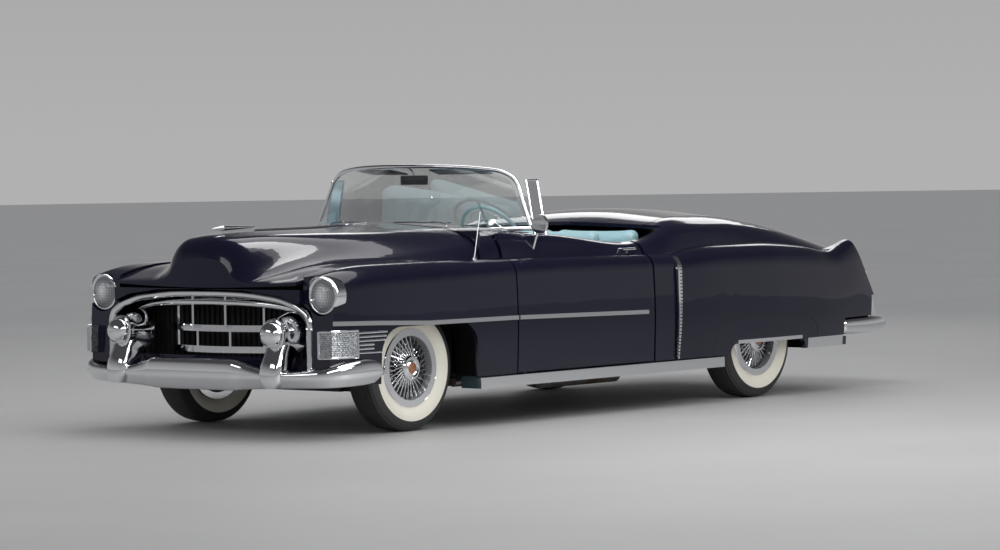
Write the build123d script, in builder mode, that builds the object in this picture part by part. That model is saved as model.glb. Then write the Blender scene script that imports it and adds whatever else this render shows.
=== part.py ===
from build123d import *
from collections import namedtuple
from math import asin, cos, pi, radians, sin, sqrt, tan
import os

os.makedirs("parts", exist_ok=True)

# The frame: +X to the car's left, +Y to the rear, +Z up, origin on the ground in the middle
# Driving sizes of the whole car, in millimetres
overall_length = 5608.0
overall_width = 2035.0
overall_height = 1488.0
half_length = overall_length / 2
half_width = overall_width / 2
wheelbase = 3200.0
front_axle_y = -1874.0
rear_axle_y = front_axle_y + wheelbase
front_track = 1502.0
rear_track = 1603.0
tyre_radius = 355.0
tyre_width = 205.0
axle_z = tyre_radius

# Panel lines along the car
hood_rear_y = -1270.0
door_front_y = -1100.0
door_rear_y = 161.0
cover_front_y = 480.0
cover_rear_y = 1490.0
trunk_front_y = 1564.0
trunk_rear_y = 2470.0
tail_panel_y = 2545.0

# Gaps, walls and one overrun for every cut
hood_side_gap = 12.0
hood_rear_gap = 15.0
door_front_gap = 11.0
door_rear_gap = 12.0
seam_gap = 3.0
lid_gap = 8.0
lid_hinge_gap = 14.0
seat_gap = 0.3
pin_clearance = 0.05
panel_thick = 22.0
edge_lip = 16.0
trim_out = 11.0
cut_over = 60.0

# Body side corners from nose to tail: shares of half length, half width and height
Side = namedtuple("Side", "y foot_x foot_z bulge_x bulge_z shoulder_x shoulder_z crown_x crown_z gap_x gap_z")
front_side_shares = [
    Side(-0.963, 0.885, 0.269, 0.909, 0.397, 0.899, 0.538, 0.835, 0.591, 0.708, 0.579),
    Side(-0.874, 0.934, 0.222, 0.949, 0.397, 0.939, 0.578, 0.865, 0.628, 0.710, 0.621),
    Side(-0.767, 0.948, 0.188, 0.965, 0.403, 0.951, 0.588, 0.875, 0.637, 0.722, 0.636),
    Side(-0.606, 0.953, 0.181, 0.969, 0.403, 0.955, 0.591, 0.885, 0.637, 0.771, 0.638),
    Side(-0.450, 0.955, 0.178, 0.971, 0.403, 0.957, 0.594, 0.899, 0.636, 0.801, 0.636),
    Side(-0.178, 0.958, 0.176, 0.973, 0.403, 0.960, 0.591, 0.922, 0.629, 0.835, 0.630),
    Side(0.061, 0.963, 0.173, 0.977, 0.403, 0.964, 0.587, 0.924, 0.622, 0.835, 0.624),
    Side(0.141, 0.965, 0.172, 0.979, 0.403, 0.966, 0.586, 0.924, 0.620, 0.830, 0.621),
]
rear_side_shares = [
    Side(0.132, 0.973, 0.172, 0.993, 0.376, 0.975, 0.578, 0.924, 0.617, 0.821, 0.618),
    Side(0.285, 0.981, 0.172, 1.002, 0.376, 0.987, 0.591, 0.914, 0.647, 0.791, 0.645),
    Side(0.473, 0.981, 0.172, 1.000, 0.376, 0.981, 0.588, 0.909, 0.644, 0.781, 0.642),
    Side(0.642, 0.968, 0.172, 0.986, 0.376, 0.963, 0.571, 0.899, 0.624, 0.781, 0.622),
    Side(0.742, 0.951, 0.181, 0.971, 0.376, 0.943, 0.551, 0.904, 0.597, 0.786, 0.594),
    Side(0.813, 0.934, 0.188, 0.954, 0.376, 0.926, 0.571, 0.896, 0.626, 0.824, 0.625),
    Side(0.856, 0.922, 0.195, 0.942, 0.376, 0.914, 0.571, 0.887, 0.629, 0.828, 0.628),
    Side(0.927, 0.899, 0.202, 0.916, 0.376, 0.892, 0.551, 0.870, 0.609, 0.824, 0.608),
]

# Upper body corners: centre height, shoulder, hip, flare and edge, in the same shares
Upper = namedtuple("Upper", "y centre_z shoulder_x shoulder_z hip_x hip_z flare_x flare_z edge_x edge_z")
front_upper_shares = [
    Upper(-0.961, 0.672, 0.172, 0.649, 0.246, 0.585, 0.324, 0.570, 0.688, 0.566),
    Upper(-0.942, 0.739, 0.211, 0.714, 0.295, 0.612, 0.378, 0.577, 0.690, 0.573),
    Upper(-0.906, 0.758, 0.246, 0.736, 0.344, 0.635, 0.432, 0.603, 0.703, 0.598),
    Upper(-0.820, 0.765, 0.334, 0.743, 0.442, 0.662, 0.550, 0.632, 0.722, 0.626),
    Upper(-0.642, 0.767, 0.472, 0.743, 0.639, 0.682, 0.727, 0.647, 0.781, 0.637),
    Upper(-0.450, 0.778, 0.609, 0.750, 0.767, 0.706, 0.808, 0.662, 0.822, 0.634),
    Upper(-0.342, 0.766, 0.702, 0.750, 0.824, 0.732, 0.853, 0.672, 0.866, 0.632),
]
rear_upper_shares = [
    Upper(-0.403, 0.774, 0.678, 0.752, 0.812, 0.737, 0.843, 0.672, 0.855, 0.633),
    Upper(-0.197, 0.736, 0.757, 0.722, 0.851, 0.706, 0.875, 0.659, 0.892, 0.629),
    Upper(0.043, 0.686, 0.786, 0.675, 0.857, 0.662, 0.885, 0.637, 0.900, 0.622),
    Upper(0.118, 0.711, 0.781, 0.698, 0.853, 0.682, 0.883, 0.646, 0.898, 0.621),
    Upper(0.200, 0.773, 0.757, 0.748, 0.840, 0.720, 0.870, 0.665, 0.885, 0.632),
    Upper(0.321, 0.806, 0.708, 0.763, 0.816, 0.722, 0.847, 0.679, 0.863, 0.647),
    Upper(0.517, 0.784, 0.668, 0.738, 0.767, 0.706, 0.808, 0.669, 0.826, 0.647),
    Upper(0.695, 0.719, 0.649, 0.679, 0.737, 0.655, 0.786, 0.628, 0.808, 0.612),
    Upper(0.820, 0.655, 0.639, 0.622, 0.732, 0.601, 0.784, 0.579, 0.808, 0.571),
    Upper(0.881, 0.595, 0.619, 0.565, 0.713, 0.548, 0.771, 0.534, 0.798, 0.528),
    Upper(0.908, 0.501, 0.600, 0.478, 0.696, 0.469, 0.757, 0.460, 0.786, 0.456),
]
corner_ease_share = 0.46
loft_sections = 14


def at_y(y):
    """Cross-section plane at a place along the car."""
    return Plane.XZ.offset(-y)


def at_x(x):
    """Side-view plane at a place across the car."""
    return Plane.YZ.offset(x)


def at_z(z):
    """Plan plane at a height."""
    return Plane.XY.offset(z)


standing = (Align.CENTER, Align.CENTER, Align.MIN)
hanging = (Align.CENTER, Align.CENTER, Align.MAX)


def slab(low, high, mode=Mode.ADD):
    """Box between two corners, in the part being built."""
    middle = [(a + b) / 2 for a, b in zip(low, high)]
    size = [b - a for a, b in zip(low, high)]
    with Locations(tuple(middle)):
        Box(*size, mode=mode)


def cut_ahead(y):
    """Cuts away all that lies ahead of a place, in the part being built."""
    slab((-overall_width, -overall_length, 0), (overall_width, y, overall_height), mode=Mode.SUBTRACT)


def cut_behind(y):
    """Cuts away all that lies behind a place, in the part being built."""
    slab((-overall_width, y, 0), (overall_width, half_length, overall_height), mode=Mode.SUBTRACT)


def side_outline(points, x_from, x_to):
    """Solid of a closed outline seen from the side, between two places across the car."""
    with BuildPart() as solid:
        with BuildSketch(at_x(x_from)):
            with BuildLine():
                Polyline(*points, close=True)
            make_face()
        extrude(amount=x_to - x_from)
    return solid.part


def front_outline(points, y_from, y_to):
    """Solid of a closed outline seen from the front, between two places along the car."""
    with BuildPart() as solid:
        with BuildSketch(at_y(y_to)):
            with BuildLine():
                Polyline(*points, close=True)
            make_face()
        extrude(amount=y_to - y_from)
    return solid.part


def plan_outline(points, z_from, z_to):
    """Solid of a closed outline seen from above, between two heights."""
    with BuildPart() as solid:
        with BuildSketch(at_z(z_from)):
            with BuildLine():
                Polyline(*points, close=True)
            make_face()
        extrude(amount=z_to - z_from)
    return solid.part


def rod(start, end, radius, mode=Mode.ADD):
    """Round bar between two points, in the part being built."""
    axis = Vector(*end) - Vector(*start)
    with BuildSketch(Plane(origin=start, z_dir=axis)) as face:
        Circle(radius)
    extrude(face.sketch, amount=axis.length, mode=mode)


def both_sides(part):
    """The part with its mirror image across the car's middle."""
    with BuildPart() as pair:
        add(part)
        mirror(part, about=Plane.YZ)
    return pair.part


def other_side(part):
    """Mirror image of a left-hand part."""
    with BuildPart() as mirrored:
        mirror(part, about=Plane.YZ)
    return mirrored.part


def finish(part, label):
    """Name a part and write its file."""
    part.label = label
    export_step(part, "parts/" + label + ".step")


def eased(points):
    """Radii that round each inner corner over a share of its shorter leg."""
    radii = []
    for before, corner, after in zip(points, points[1:], points[2:]):
        leg_in = Vector(*before) - Vector(*corner)
        leg_out = Vector(*after) - Vector(*corner)
        turn = pi - radians(leg_in.get_angle(leg_out))
        reach = corner_ease_share * min(leg_in.length, leg_out.length)
        radii.append(reach / tan(turn / 2))
    return radii


def side_section(row, out):
    """One closed section of the left body side, its skin let out."""
    shares = [(row.foot_x, row.foot_z), (row.bulge_x, row.bulge_z), (row.shoulder_x, row.shoulder_z),
              (row.crown_x, row.crown_z), (row.gap_x, row.gap_z)]
    points = [(x * half_width + out, z * overall_height) for x, z in shares]
    foot, gap = points[0], points[-1]
    with BuildSketch(at_y(row.y * half_length)) as section:
        with BuildLine():
            FilletPolyline(*points, radius=eased(points))
            Polyline(gap, (gap[0], foot[1]), foot)
        make_face()
    return section.sketch


def column_slopes(places, values):
    """Slope of a smooth curve through each value that never overshoots its neighbours."""
    spans = list(zip(places, places[1:], values, values[1:]))
    rises = [(high - low) / (end - start) for start, end, low, high in spans]
    slopes = [rises[0]]
    for before, after in zip(rises, rises[1:]):
        slopes.append(2 * before * after / (before + after) if before * after > 0 else 0.0)
    return slopes + [rises[-1]]


def even_rows(rows, count):
    """Rows at even places along the car, worked out between the table's rows."""
    columns = list(zip(*rows))
    places = columns[0]
    slopes = [column_slopes(places, column) for column in columns[1:]]
    made = []
    for step in range(count):
        y = places[0] + (places[-1] - places[0]) * step / (count - 1)
        i = min(len(places) - 2, sum(place <= y for place in places) - 1)
        span = places[i + 1] - places[i]
        t = (y - places[i]) / span
        values = []
        for column, slope in zip(columns[1:], slopes):
            start = (2 * t**3 - 3 * t**2 + 1) * column[i] + (t**3 - 2 * t**2 + t) * span * slope[i]
            end = (3 * t**2 - 2 * t**3) * column[i + 1] + (t**3 - t**2) * span * slope[i + 1]
            values.append(start + end)
        made.append(type(rows[0])(y, *values))
    return made


def side_loft(rows, out):
    """Solid body side through its sections, its skin let out."""
    with BuildPart() as side:
        loft(sections=[side_section(row, out) for row in even_rows(rows, loft_sections)])
    return side.part


def upper_section(row, inset, drop):
    """One closed section of the upper body, pulled in by inset or let out, its base moved down."""
    def point(x_share, z_share, in_share, down_share):
        return (x_share * half_width - in_share * inset, z_share * overall_height - down_share * inset)

    half = [
        point(row.shoulder_x, row.shoulder_z, 0.2, 1),
        point(row.hip_x, row.hip_z, 0.55, 0.85),
        point(row.flare_x, row.flare_z, 0.6, 0.8),
        point(row.edge_x, row.edge_z, 0.6, 0.8),
    ]
    far_half = [(-x, z) for x, z in reversed(half)]
    points = far_half + [point(0, row.centre_z, 0, 1)] + half
    edge = half[-1]
    base_z = edge[1] - edge_lip - drop
    with BuildSketch(at_y(row.y * half_length)) as section:
        with BuildLine():
            FilletPolyline(*points, radius=eased(points))
            Polyline(edge, (edge[0], base_z), (-edge[0], base_z), (-edge[0], edge[1]))
        make_face()
    return section.sketch


def upper_loft(rows, inset, drop):
    """Solid upper body through its sections."""
    with BuildPart() as upper:
        loft(sections=[upper_section(row, inset, drop) for row in even_rows(rows, loft_sections)])
    return upper.part


front_side = side_loft(front_side_shares, 0)
rear_side = side_loft(rear_side_shares, 0)
front_trim = side_loft(front_side_shares, trim_out)
rear_trim = side_loft(rear_side_shares, trim_out)
front_upper = upper_loft(front_upper_shares, 0, 0)
front_core = upper_loft(front_upper_shares, panel_thick, panel_thick)
hood_clear = upper_loft(front_upper_shares, -hood_side_gap, 2 * hood_side_gap)
cowl_seat = upper_loft(front_upper_shares, -seat_gap, seat_gap)
rear_upper = upper_loft(rear_upper_shares, 0, 0)
rear_core = upper_loft(rear_upper_shares, panel_thick, panel_thick)
rear_clear = upper_loft(rear_upper_shares, -seam_gap, seam_gap)

# Heights and places that several pieces share
body_bottom_z = 288.0
sill_top_z = 278.0
sill_bottom_z = 217.0
sill_inner_x = 835.0
door_inner_x = 850.0
door_belt_inner_x = 815.0
door_step_z = 900.0
door_hinge_x = 955.0
door_hinge_y = -1020.0
door_hinge_radius = 8.0
door_hinge_height = 55.0
fender_rear_y = door_front_y - door_front_gap
cowl_front_y = hood_rear_y + hood_rear_gap
pillar_inner_x = 772.0
pillar_outer_x = 812.0
quarter_front_y = door_rear_y + door_rear_gap


def cylinder_x(x_from, x_to, y, z, radius, mode=Mode.ADD):
    """Round bar across the car, in the part being built."""
    rod((x_from, y, z), (x_to, y, z), radius, mode)


# Chassis: two side rails that rise over the rear axle, cross members and spring hangers
rail_inner_x = 365.0
rail_outer_x = 435.0
rail_height = 70.0
rail_front_y = -2640.0
rail_nose_z = 300.0
rail_low_z = 195.0
rail_arch_z = 430.0
rail_tail_z = 330.0
rail_rear_y = 2640.0
rail_line_shares = [(-0.540, "nose"), (-0.470, "low"), (0.300, "low"), (0.375, "arch"), (0.590, "arch"),
                    (0.685, "tail")]
rail_levels = {"nose": rail_nose_z, "low": rail_low_z, "arch": rail_arch_z, "tail": rail_tail_z}
cross_member_length = 80.0
cross_member_y_shares = [-0.850, -0.300, 0.120, 0.760]

leaf_x = 540.0
leaf_half_width = 30.0
leaf_thick = 26.0
leaf_half_length = 640.0
leaf_end_z = 394.0
hanger_length = 50.0
hanger_front_low_z = 256.0
hanger_rear_low_z = 335.0
hanger_clearance = 3.0

# Floor and sills
floor_bottom_z = rail_low_z + rail_height + seat_gap
floor_thick = 18.0
floor_top_z = floor_bottom_z + floor_thick

# Front wheel opening and well, with the wall between the well and the engine bay
front_well_radius = 398.0
front_well_inner_x = 462.0
front_well_outer_x = 958.0
front_well_wall = 20.0
front_well_top_z = 820.0
front_arm_window_y = 110.0
front_arm_window_z = 545.0
front_opening_front_y = -2262.0
front_opening_rear_y = -1453.0
front_opening_top_z = 600.0
front_opening_corner = 150.0
engine_bay_x = 780.0


def wheel_opening(front_y, rear_y, top_z, inner_x, corner):
    """Cutter for the opening in a body side, rounded at its top corners."""
    with BuildPart() as opening:
        with BuildSketch(at_x(inner_x)):
            with BuildLine():
                outline = [(front_y, -cut_over), (front_y, top_z), (rear_y, top_z), (rear_y, -cut_over)]
                FilletPolyline(*outline, radius=corner)
                Line(outline[-1], outline[0])
            make_face()
        extrude(amount=overall_width)
    return opening.part


def wheel_well(axle_y, inner_x, outer_x, radius):
    """Cutter for the round space about a wheel, open below."""
    with BuildPart() as well:
        cylinder_x(inner_x, outer_x, axle_y, axle_z, radius)
        slab((inner_x, axle_y - radius, -cut_over), (outer_x, axle_y + radius, axle_z))
    return well.part


# Grille opening, half its outline in shares of half width and overall height
grille_arch_shares = [(0.755, 0.200), (0.755, 0.425), (0.737, 0.458), (0.672, 0.486), (0.553, 0.512),
                      (0.300, 0.532)]
grille_top_share = 0.5355
grille_front_y = -2620.0
grille_tube_radius = 22.0
grille_recess = 210.0


def mirrored(half, middle=()):
    """Closed outline from its left half, over the middle points to the right half."""
    return half + list(middle) + [(-x, z) for x, z in reversed(half)]


def grille_points(out):
    """Outline of the grille opening, let out all round."""
    half = [(x * half_width + out, z * overall_height + out) for x, z in grille_arch_shares]
    half[0] = (half[0][0], half[0][1] - 3 * out)
    return mirrored(half, [(0, grille_top_share * overall_height + out)])


grille_opening = front_outline(grille_points(grille_tube_radius + seat_gap), -half_length - cut_over,
                               grille_front_y + grille_recess)

# Front fenders: outer side with the lamp face, wheel well and its inner wall
lamp_face_low_y = -2655.0
lamp_face_high_y = -2575.0
lamp_x = 849.0
lamp_y = -2596.0
lamp_z = 789.0
lamp_radius = 109.0
lamp_depth = 66.0
lamp_gap = 2.0

parking_shares = [(0.868, -0.9565), (0.936, -0.944), (0.956, -0.876), (0.868, -0.876)]
parking_low_z = 447.0
parking_high_z = 598.0


def parking_block(out):
    """Left parking lamp, let out all round."""
    points = [(x * half_width, y * half_length) for x, y in parking_shares]
    with BuildPart() as block:
        add(plan_outline(points, parking_low_z, parking_high_z))
        if out:
            offset(amount=out, kind=Kind.INTERSECTION)
    return block.part


with BuildPart() as front_fender_left:
    add(front_side)
    slab((front_well_inner_x - front_well_wall, front_axle_y - front_well_radius - front_well_wall,
          body_bottom_z),
         (engine_bay_x, front_axle_y + front_well_radius + front_well_wall, front_well_top_z))
    slab((pillar_outer_x + seat_gap, cowl_front_y, body_bottom_z),
         (door_inner_x, fender_rear_y, door_step_z - cut_over))
    add(hood_clear, mode=Mode.SUBTRACT)
    slab((0, fender_rear_y, 0), (overall_width, half_length, overall_height), mode=Mode.SUBTRACT)
    slab((0, -overall_length, 0), (overall_width, half_length, body_bottom_z), mode=Mode.SUBTRACT)
    add(side_outline([(lamp_face_low_y, 0), (lamp_face_high_y, overall_height),
                      (-overall_length, overall_height), (-overall_length, 0)], 0, overall_width),
        mode=Mode.SUBTRACT)
    add(grille_opening, mode=Mode.SUBTRACT)
    rod((lamp_x, -half_length, lamp_z), (lamp_x, lamp_y + lamp_depth + seat_gap, lamp_z),
        lamp_radius + lamp_gap, mode=Mode.SUBTRACT)
    add(parking_block(seat_gap), mode=Mode.SUBTRACT)
    add(wheel_well(front_axle_y, front_well_inner_x, front_well_outer_x, front_well_radius), mode=Mode.SUBTRACT)
    add(wheel_opening(front_opening_front_y, front_opening_rear_y, front_opening_top_z, engine_bay_x,
                      front_opening_corner), mode=Mode.SUBTRACT)
    slab((0, front_axle_y - front_arm_window_y, 0),
         (front_well_inner_x + front_well_wall, front_axle_y + front_arm_window_y, front_arm_window_z),
         mode=Mode.SUBTRACT)
front_fender_right = other_side(front_fender_left.part)
finish(front_fender_left.part, "front_fender_left")
finish(front_fender_right, "front_fender_right")

# Lid hinges: a pin across two lugs under the lid, turning in the eye of an arm on the body
hinge_pin_radius = 5.0
hinge_eye_radius = 9.0
hinge_arm_width = 12.0
hinge_arm_thick = 10.0
hinge_pocket_width = 18.0
hinge_pocket_reach = 30.0
hinge_pocket_height = 11.5
hinge_lug_thick = 8.0
hinge_lug_radius = 11.0
hinge_edge = 22.0
hinge_arm_drop = 60.0


def lid_hinge(x, y, z):
    """Pocket, lugs and pin of one hinge, in the lid being built."""
    pocket = hinge_pocket_width / 2
    slab((x - pocket, y - hinge_pocket_reach, z - hinge_arm_drop),
         (x + pocket, y + hinge_pocket_reach, z + hinge_pocket_height), mode=Mode.SUBTRACT)
    for side in (-1, 1):
        near = x + side * pocket
        cylinder_x(min(near, near + side * hinge_lug_thick), max(near, near + side * hinge_lug_thick), y, z,
                   hinge_lug_radius)
    cylinder_x(x - pocket - hinge_lug_thick, x + pocket + hinge_lug_thick, y, z, hinge_pin_radius)


def hinge_arm(x, y, z, foot_y):
    """Eye, arm and foot of one hinge, in the body panel being built."""
    half = hinge_arm_width / 2
    foot_z = z - hinge_arm_drop
    cylinder_x(x - half, x + half, y, z, hinge_eye_radius)
    slab((x - half, y - hinge_arm_thick / 2, foot_z), (x + half, y + hinge_arm_thick / 2, z))
    slab((x - half, min(y, foot_y), foot_z), (x + half, max(y, foot_y), foot_z + hinge_arm_thick))
    cylinder_x(x - half, x + half, y, z, hinge_pin_radius + pin_clearance, mode=Mode.SUBTRACT)


# Hood: a shell closed at the nose, hinged at its rear edge
hood_nose_y = -2694.0
hood_nose_side_y = -2612.0
hood_nose_thick = 26.0
hood_hinge_x = 120.0
hood_hinge_y = hood_rear_y - hinge_edge
hood_hinge_z = 1134.0
hood_corner_x = 828.0
hood_corner_length = 60.0


def nose_plan(back):
    """Everything behind the curved line of the nose seen from above, moved back."""
    with BuildPart() as plan:
        with BuildSketch(at_z(0)):
            with BuildLine():
                left = (half_width, hood_nose_side_y + back)
                right = (-half_width, hood_nose_side_y + back)
                ThreePointArc(left, (0, hood_nose_y + back), right)
                Polyline(right, (-half_width, half_length), (half_width, half_length), left)
            make_face()
        extrude(amount=overall_height)
    return plan.part


with BuildPart() as hood_hollow:
    add(front_core)
    add(nose_plan(hood_nose_thick), mode=Mode.INTERSECT)

with BuildPart() as hood:
    add(front_upper)
    add(nose_plan(0), mode=Mode.INTERSECT)
    add(hood_hollow.part, mode=Mode.SUBTRACT)
    cut_behind(hood_rear_y)
    for side in (-1, 1):
        low, high = sorted((side * hood_corner_x, side * overall_width))
        slab((low, hood_rear_y - hood_corner_length, 0), (high, half_length, overall_height),
             mode=Mode.SUBTRACT)
    for x in (-hood_hinge_x, hood_hinge_x):
        lid_hinge(x, hood_hinge_y, hood_hinge_z)
finish(hood.part, "hood")

# Windshield: curved, raked glass in a frame, its outline seen from the front
screen_base_mid_y = -1188.0
screen_base_side_x = 858.0
screen_base_side_y = -790.0
screen_base_z = 1100.0
screen_top_mid_y = -935.0
screen_top_side_x = 690.0
screen_top_side_y = -765.0
screen_outline_shares = [(0.842, 0.7395), (0.795, 0.815), (0.745, 0.896), (0.700, 0.949), (0.600, 0.981),
                         (0.390, 0.995)]
screen_middle_share = 1.0
glass_thick = 7.0
frame_thick = 26.0
frame_band = 26.0


def screen_slab(thick, below):
    """Curved, raked slab that the windshield and its frame are cut from."""
    drop = below / (overall_height - screen_base_z)
    low_side_x = screen_base_side_x + (screen_base_side_x - screen_top_side_x) * drop
    low_side_y = screen_base_side_y + (screen_base_side_y - screen_top_side_y) * drop
    low_mid_y = screen_base_mid_y + (screen_base_mid_y - screen_top_mid_y) * drop
    levels = [(screen_base_z - below, low_side_x, low_side_y, low_mid_y),
              (overall_height, screen_top_side_x, screen_top_side_y, screen_top_mid_y)]
    half = thick / 2
    faces = []
    for z, side_x, side_y, mid_y in levels:
        with BuildSketch(at_z(z)) as level:
            with BuildLine():
                front = ThreePointArc((side_x, side_y - half), (0, mid_y - half), (-side_x, side_y - half))
                back = ThreePointArc((side_x, side_y + half), (0, mid_y + half), (-side_x, side_y + half))
                Line(front @ 0, back @ 0)
                Line(front @ 1, back @ 1)
            make_face()
        faces.append(level.sketch)
    with BuildPart() as screen:
        loft(sections=faces)
    return screen.part


def screen_cutter(inset):
    """Everything inside the windshield's outline seen from the front, pulled in by inset."""
    half = [(x * half_width - inset, z * overall_height - inset) for x, z in screen_outline_shares]
    half[0] = (half[0][0], half[0][1] + 2 * inset)
    points = mirrored(half, [(0, screen_middle_share * overall_height - inset)])
    return front_outline(points, hood_rear_y, 0)


screen_foot = 60.0
with BuildPart() as windshield_frame:
    add(screen_slab(frame_thick, screen_foot))
    add(screen_cutter(0), mode=Mode.INTERSECT)
    add(screen_cutter(frame_band), mode=Mode.SUBTRACT)
    add(cowl_seat, mode=Mode.SUBTRACT)
    add(rear_clear, mode=Mode.SUBTRACT)
finish(windshield_frame.part, "windshield_frame")

with BuildPart() as windshield_glass:
    add(screen_slab(glass_thick, screen_foot))
    add(screen_cutter(frame_band + seat_gap), mode=Mode.INTERSECT)
    add(cowl_seat, mode=Mode.SUBTRACT)
    add(rear_clear, mode=Mode.SUBTRACT)
finish(windshield_glass.part, "windshield_glass")

# Cowl: shell between hood and windshield, firewall, pillars and hinge arms
cowl_join_y = -985.0
cowl_side_x = 788.0
cowl_shelf = 75.0
firewall_thick = 22.0
firewall_top_z = 1105.0
firewall_bottom_z = floor_top_z + seat_gap

screen_radius = (screen_base_side_x**2 + (screen_base_side_y - screen_base_mid_y)**2) / (
    2 * (screen_base_side_y - screen_base_mid_y))

with BuildPart() as cowl_wings:
    add(rear_upper)
    add(rear_core, mode=Mode.SUBTRACT)
    cut_ahead(cowl_join_y)
    cut_behind(screen_top_side_y)

with BuildPart() as cabin_front:
    with Locations((0, screen_base_mid_y + screen_radius, 0)):
        Cylinder(screen_radius - cowl_shelf, 2 * overall_height)

with BuildPart() as cowl:
    add(front_upper)
    add(front_core, mode=Mode.SUBTRACT)
    cut_ahead(cowl_front_y)
    cut_behind(cowl_join_y)
    add(cowl_wings.part)
    for side in (-1, 1):
        low, high = sorted((side * cowl_side_x, side * overall_width))
        slab((low, fender_rear_y, 0), (high, half_length, overall_height), mode=Mode.SUBTRACT)
    add(cabin_front.part, mode=Mode.SUBTRACT)
    slab((-pillar_outer_x, cowl_front_y, firewall_bottom_z),
         (pillar_outer_x, cowl_front_y + firewall_thick, firewall_top_z))
    for side in (-1, 1):
        low, high = sorted((side * pillar_inner_x, side * pillar_outer_x))
        slab((low, cowl_front_y, firewall_bottom_z), (high, fender_rear_y, door_step_z))
    for x in (-hood_hinge_x, hood_hinge_x):
        hinge_arm(x, hood_hinge_y, hood_hinge_z, cowl_front_y)
finish(cowl.part, "cowl")
# Doors: the whole wall from the side's skin to the cabin, hinged at their front edge
door_rear_slant = 21.0
door_panel_bottom_z = body_bottom_z + seam_gap

with BuildPart() as door_left:
    add(front_side)
    add(rear_upper)
    cut_ahead(door_front_y)
    slab((-overall_width, -half_length, 0), (door_inner_x, half_length, door_step_z), mode=Mode.SUBTRACT)
    slab((-overall_width, -half_length, 0), (door_belt_inner_x, half_length, overall_height),
         mode=Mode.SUBTRACT)
    slab((0, -half_length, 0), (overall_width, half_length, door_panel_bottom_z), mode=Mode.SUBTRACT)
    middle_y = door_rear_y - door_rear_slant * half_width / (half_width - door_belt_inner_x)
    add(plan_outline([(half_width, door_rear_y), (0, middle_y), (0, half_length), (half_width, half_length)],
                     0, overall_height), mode=Mode.SUBTRACT)
    with Locations((door_hinge_x, door_hinge_y, door_panel_bottom_z)):
        Cylinder(door_hinge_radius + pin_clearance, 2 * door_hinge_height, mode=Mode.SUBTRACT)
finish(door_left.part, "door_left")
finish(other_side(door_left.part), "door_right")

# Rear quarters: body side behind the doors, with the wheel well and the tail lamp face
rear_well_radius = 400.0
rear_well_inner_x = 662.0
rear_well_outer_x = 962.0
rear_well_wall = 18.0
rear_well_low_z = 470.0
rear_well_block_x = 850.0
rear_well_top_z = 795.0
skirt_front_y = 905.0
skirt_rear_y = 1700.0
skirt_bottom_z = 352.0
skirt_corner = 55.0
rear_foot_y = 2184.0
tail_low_y = 2560.0
tail_high_y = 2330.0
tail_low_z = 560.0
tail_high_z = 950.0

pod_side_shares = [(0.765, 0.232), (0.772, 0.305), (0.894, 0.306), (0.897, 0.394), (0.919, 0.394),
                   (0.930, 0.306), (0.960, 0.301), (0.981, 0.262), (0.981, 0.234), (0.860, 0.227)]
pod_plan_shares = [(0.790, 0.760), (0.983, 0.760), (0.965, 0.850), (0.915, 0.950),
                   (0.845, 0.984), (0.790, 0.984)]
pod_gap = 3.0

with BuildPart() as pod_left:
    add(side_outline([(y * half_length, z * overall_height) for y, z in pod_side_shares], 0, half_width))
    add(plan_outline([(x * half_width, y * half_length) for x, y in pod_plan_shares], 0, overall_height),
        mode=Mode.INTERSECT)

with BuildPart() as pod_opening:
    with Locations((-overall_width / 4, 0, 0)):
        add(side_outline([(y * half_length, z * overall_height) for y, z in pod_side_shares], 0, overall_width))
    offset(amount=pod_gap, kind=Kind.INTERSECTION)

with BuildPart() as quarter_left:
    add(front_side)
    add(rear_side)
    slab((rear_well_inner_x - rear_well_wall, rear_axle_y - rear_well_radius - rear_well_wall, rear_well_low_z),
         (rear_well_block_x, rear_axle_y + rear_well_radius + rear_well_wall, rear_well_top_z))
    cut_ahead(quarter_front_y)
    add(rear_clear, mode=Mode.SUBTRACT)
    slab((0, -half_length, 0), (overall_width, half_length, body_bottom_z), mode=Mode.SUBTRACT)
    slab((0, rear_foot_y, 0), (overall_width, half_length, skirt_bottom_z), mode=Mode.SUBTRACT)
    add(pod_opening.part, mode=Mode.SUBTRACT)
    add(side_outline([(tail_high_y, tail_high_z), (tail_low_y, tail_low_z), (tail_low_y, 0),
                      (overall_length, 0), (overall_length, overall_height), (tail_high_y, overall_height)],
                     0, overall_width), mode=Mode.SUBTRACT)
    add(wheel_well(rear_axle_y, rear_well_inner_x, rear_well_outer_x, rear_well_radius), mode=Mode.SUBTRACT)
    add(wheel_opening(skirt_front_y, skirt_rear_y, skirt_bottom_z, engine_bay_x, skirt_corner),
        mode=Mode.SUBTRACT)
quarter_right = other_side(quarter_left.part)
finish(quarter_left.part, "rear_quarter_left")
finish(quarter_right, "rear_quarter_right")

# Rear deck, with the openings for the rear seat, the top cover and the trunk
cockpit_side_x = 805.0
cover_side_x = 690.0
cover_rear_side_x = 655.0
trunk_side_x = 655.0
trunk_rear_side_x = 585.0
lid_corner = 60.0
cover_hinge_x = 150.0
cover_hinge_y = cover_rear_y - hinge_edge
cover_hinge_z = 1124.0
trunk_hinge_y = trunk_front_y + hinge_edge
trunk_hinge_z = 1107.0
tail_panel_thick = 30.0
tail_panel_shares = [(0.776, 0.269), (0.776, 0.452), (0.690, 0.462), (0.580, 0.472), (0.200, 0.485)]


def lid_block(front_y, rear_y, front_x, rear_x, out, front_out, rear_out):
    """Tapered block with rounded corners seen from above, let out at its sides and ends."""
    with BuildPart() as block:
        with BuildSketch(at_z(door_step_z / 2)) as face:
            with BuildLine():
                Polyline((front_x + out, front_y - front_out), (rear_x + out, rear_y + rear_out),
                         (-rear_x - out, rear_y + rear_out), (-front_x - out, front_y - front_out), close=True)
            make_face()
            fillet(face.vertices(), lid_corner + out)
        extrude(amount=overall_height)
    return block.part


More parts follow.
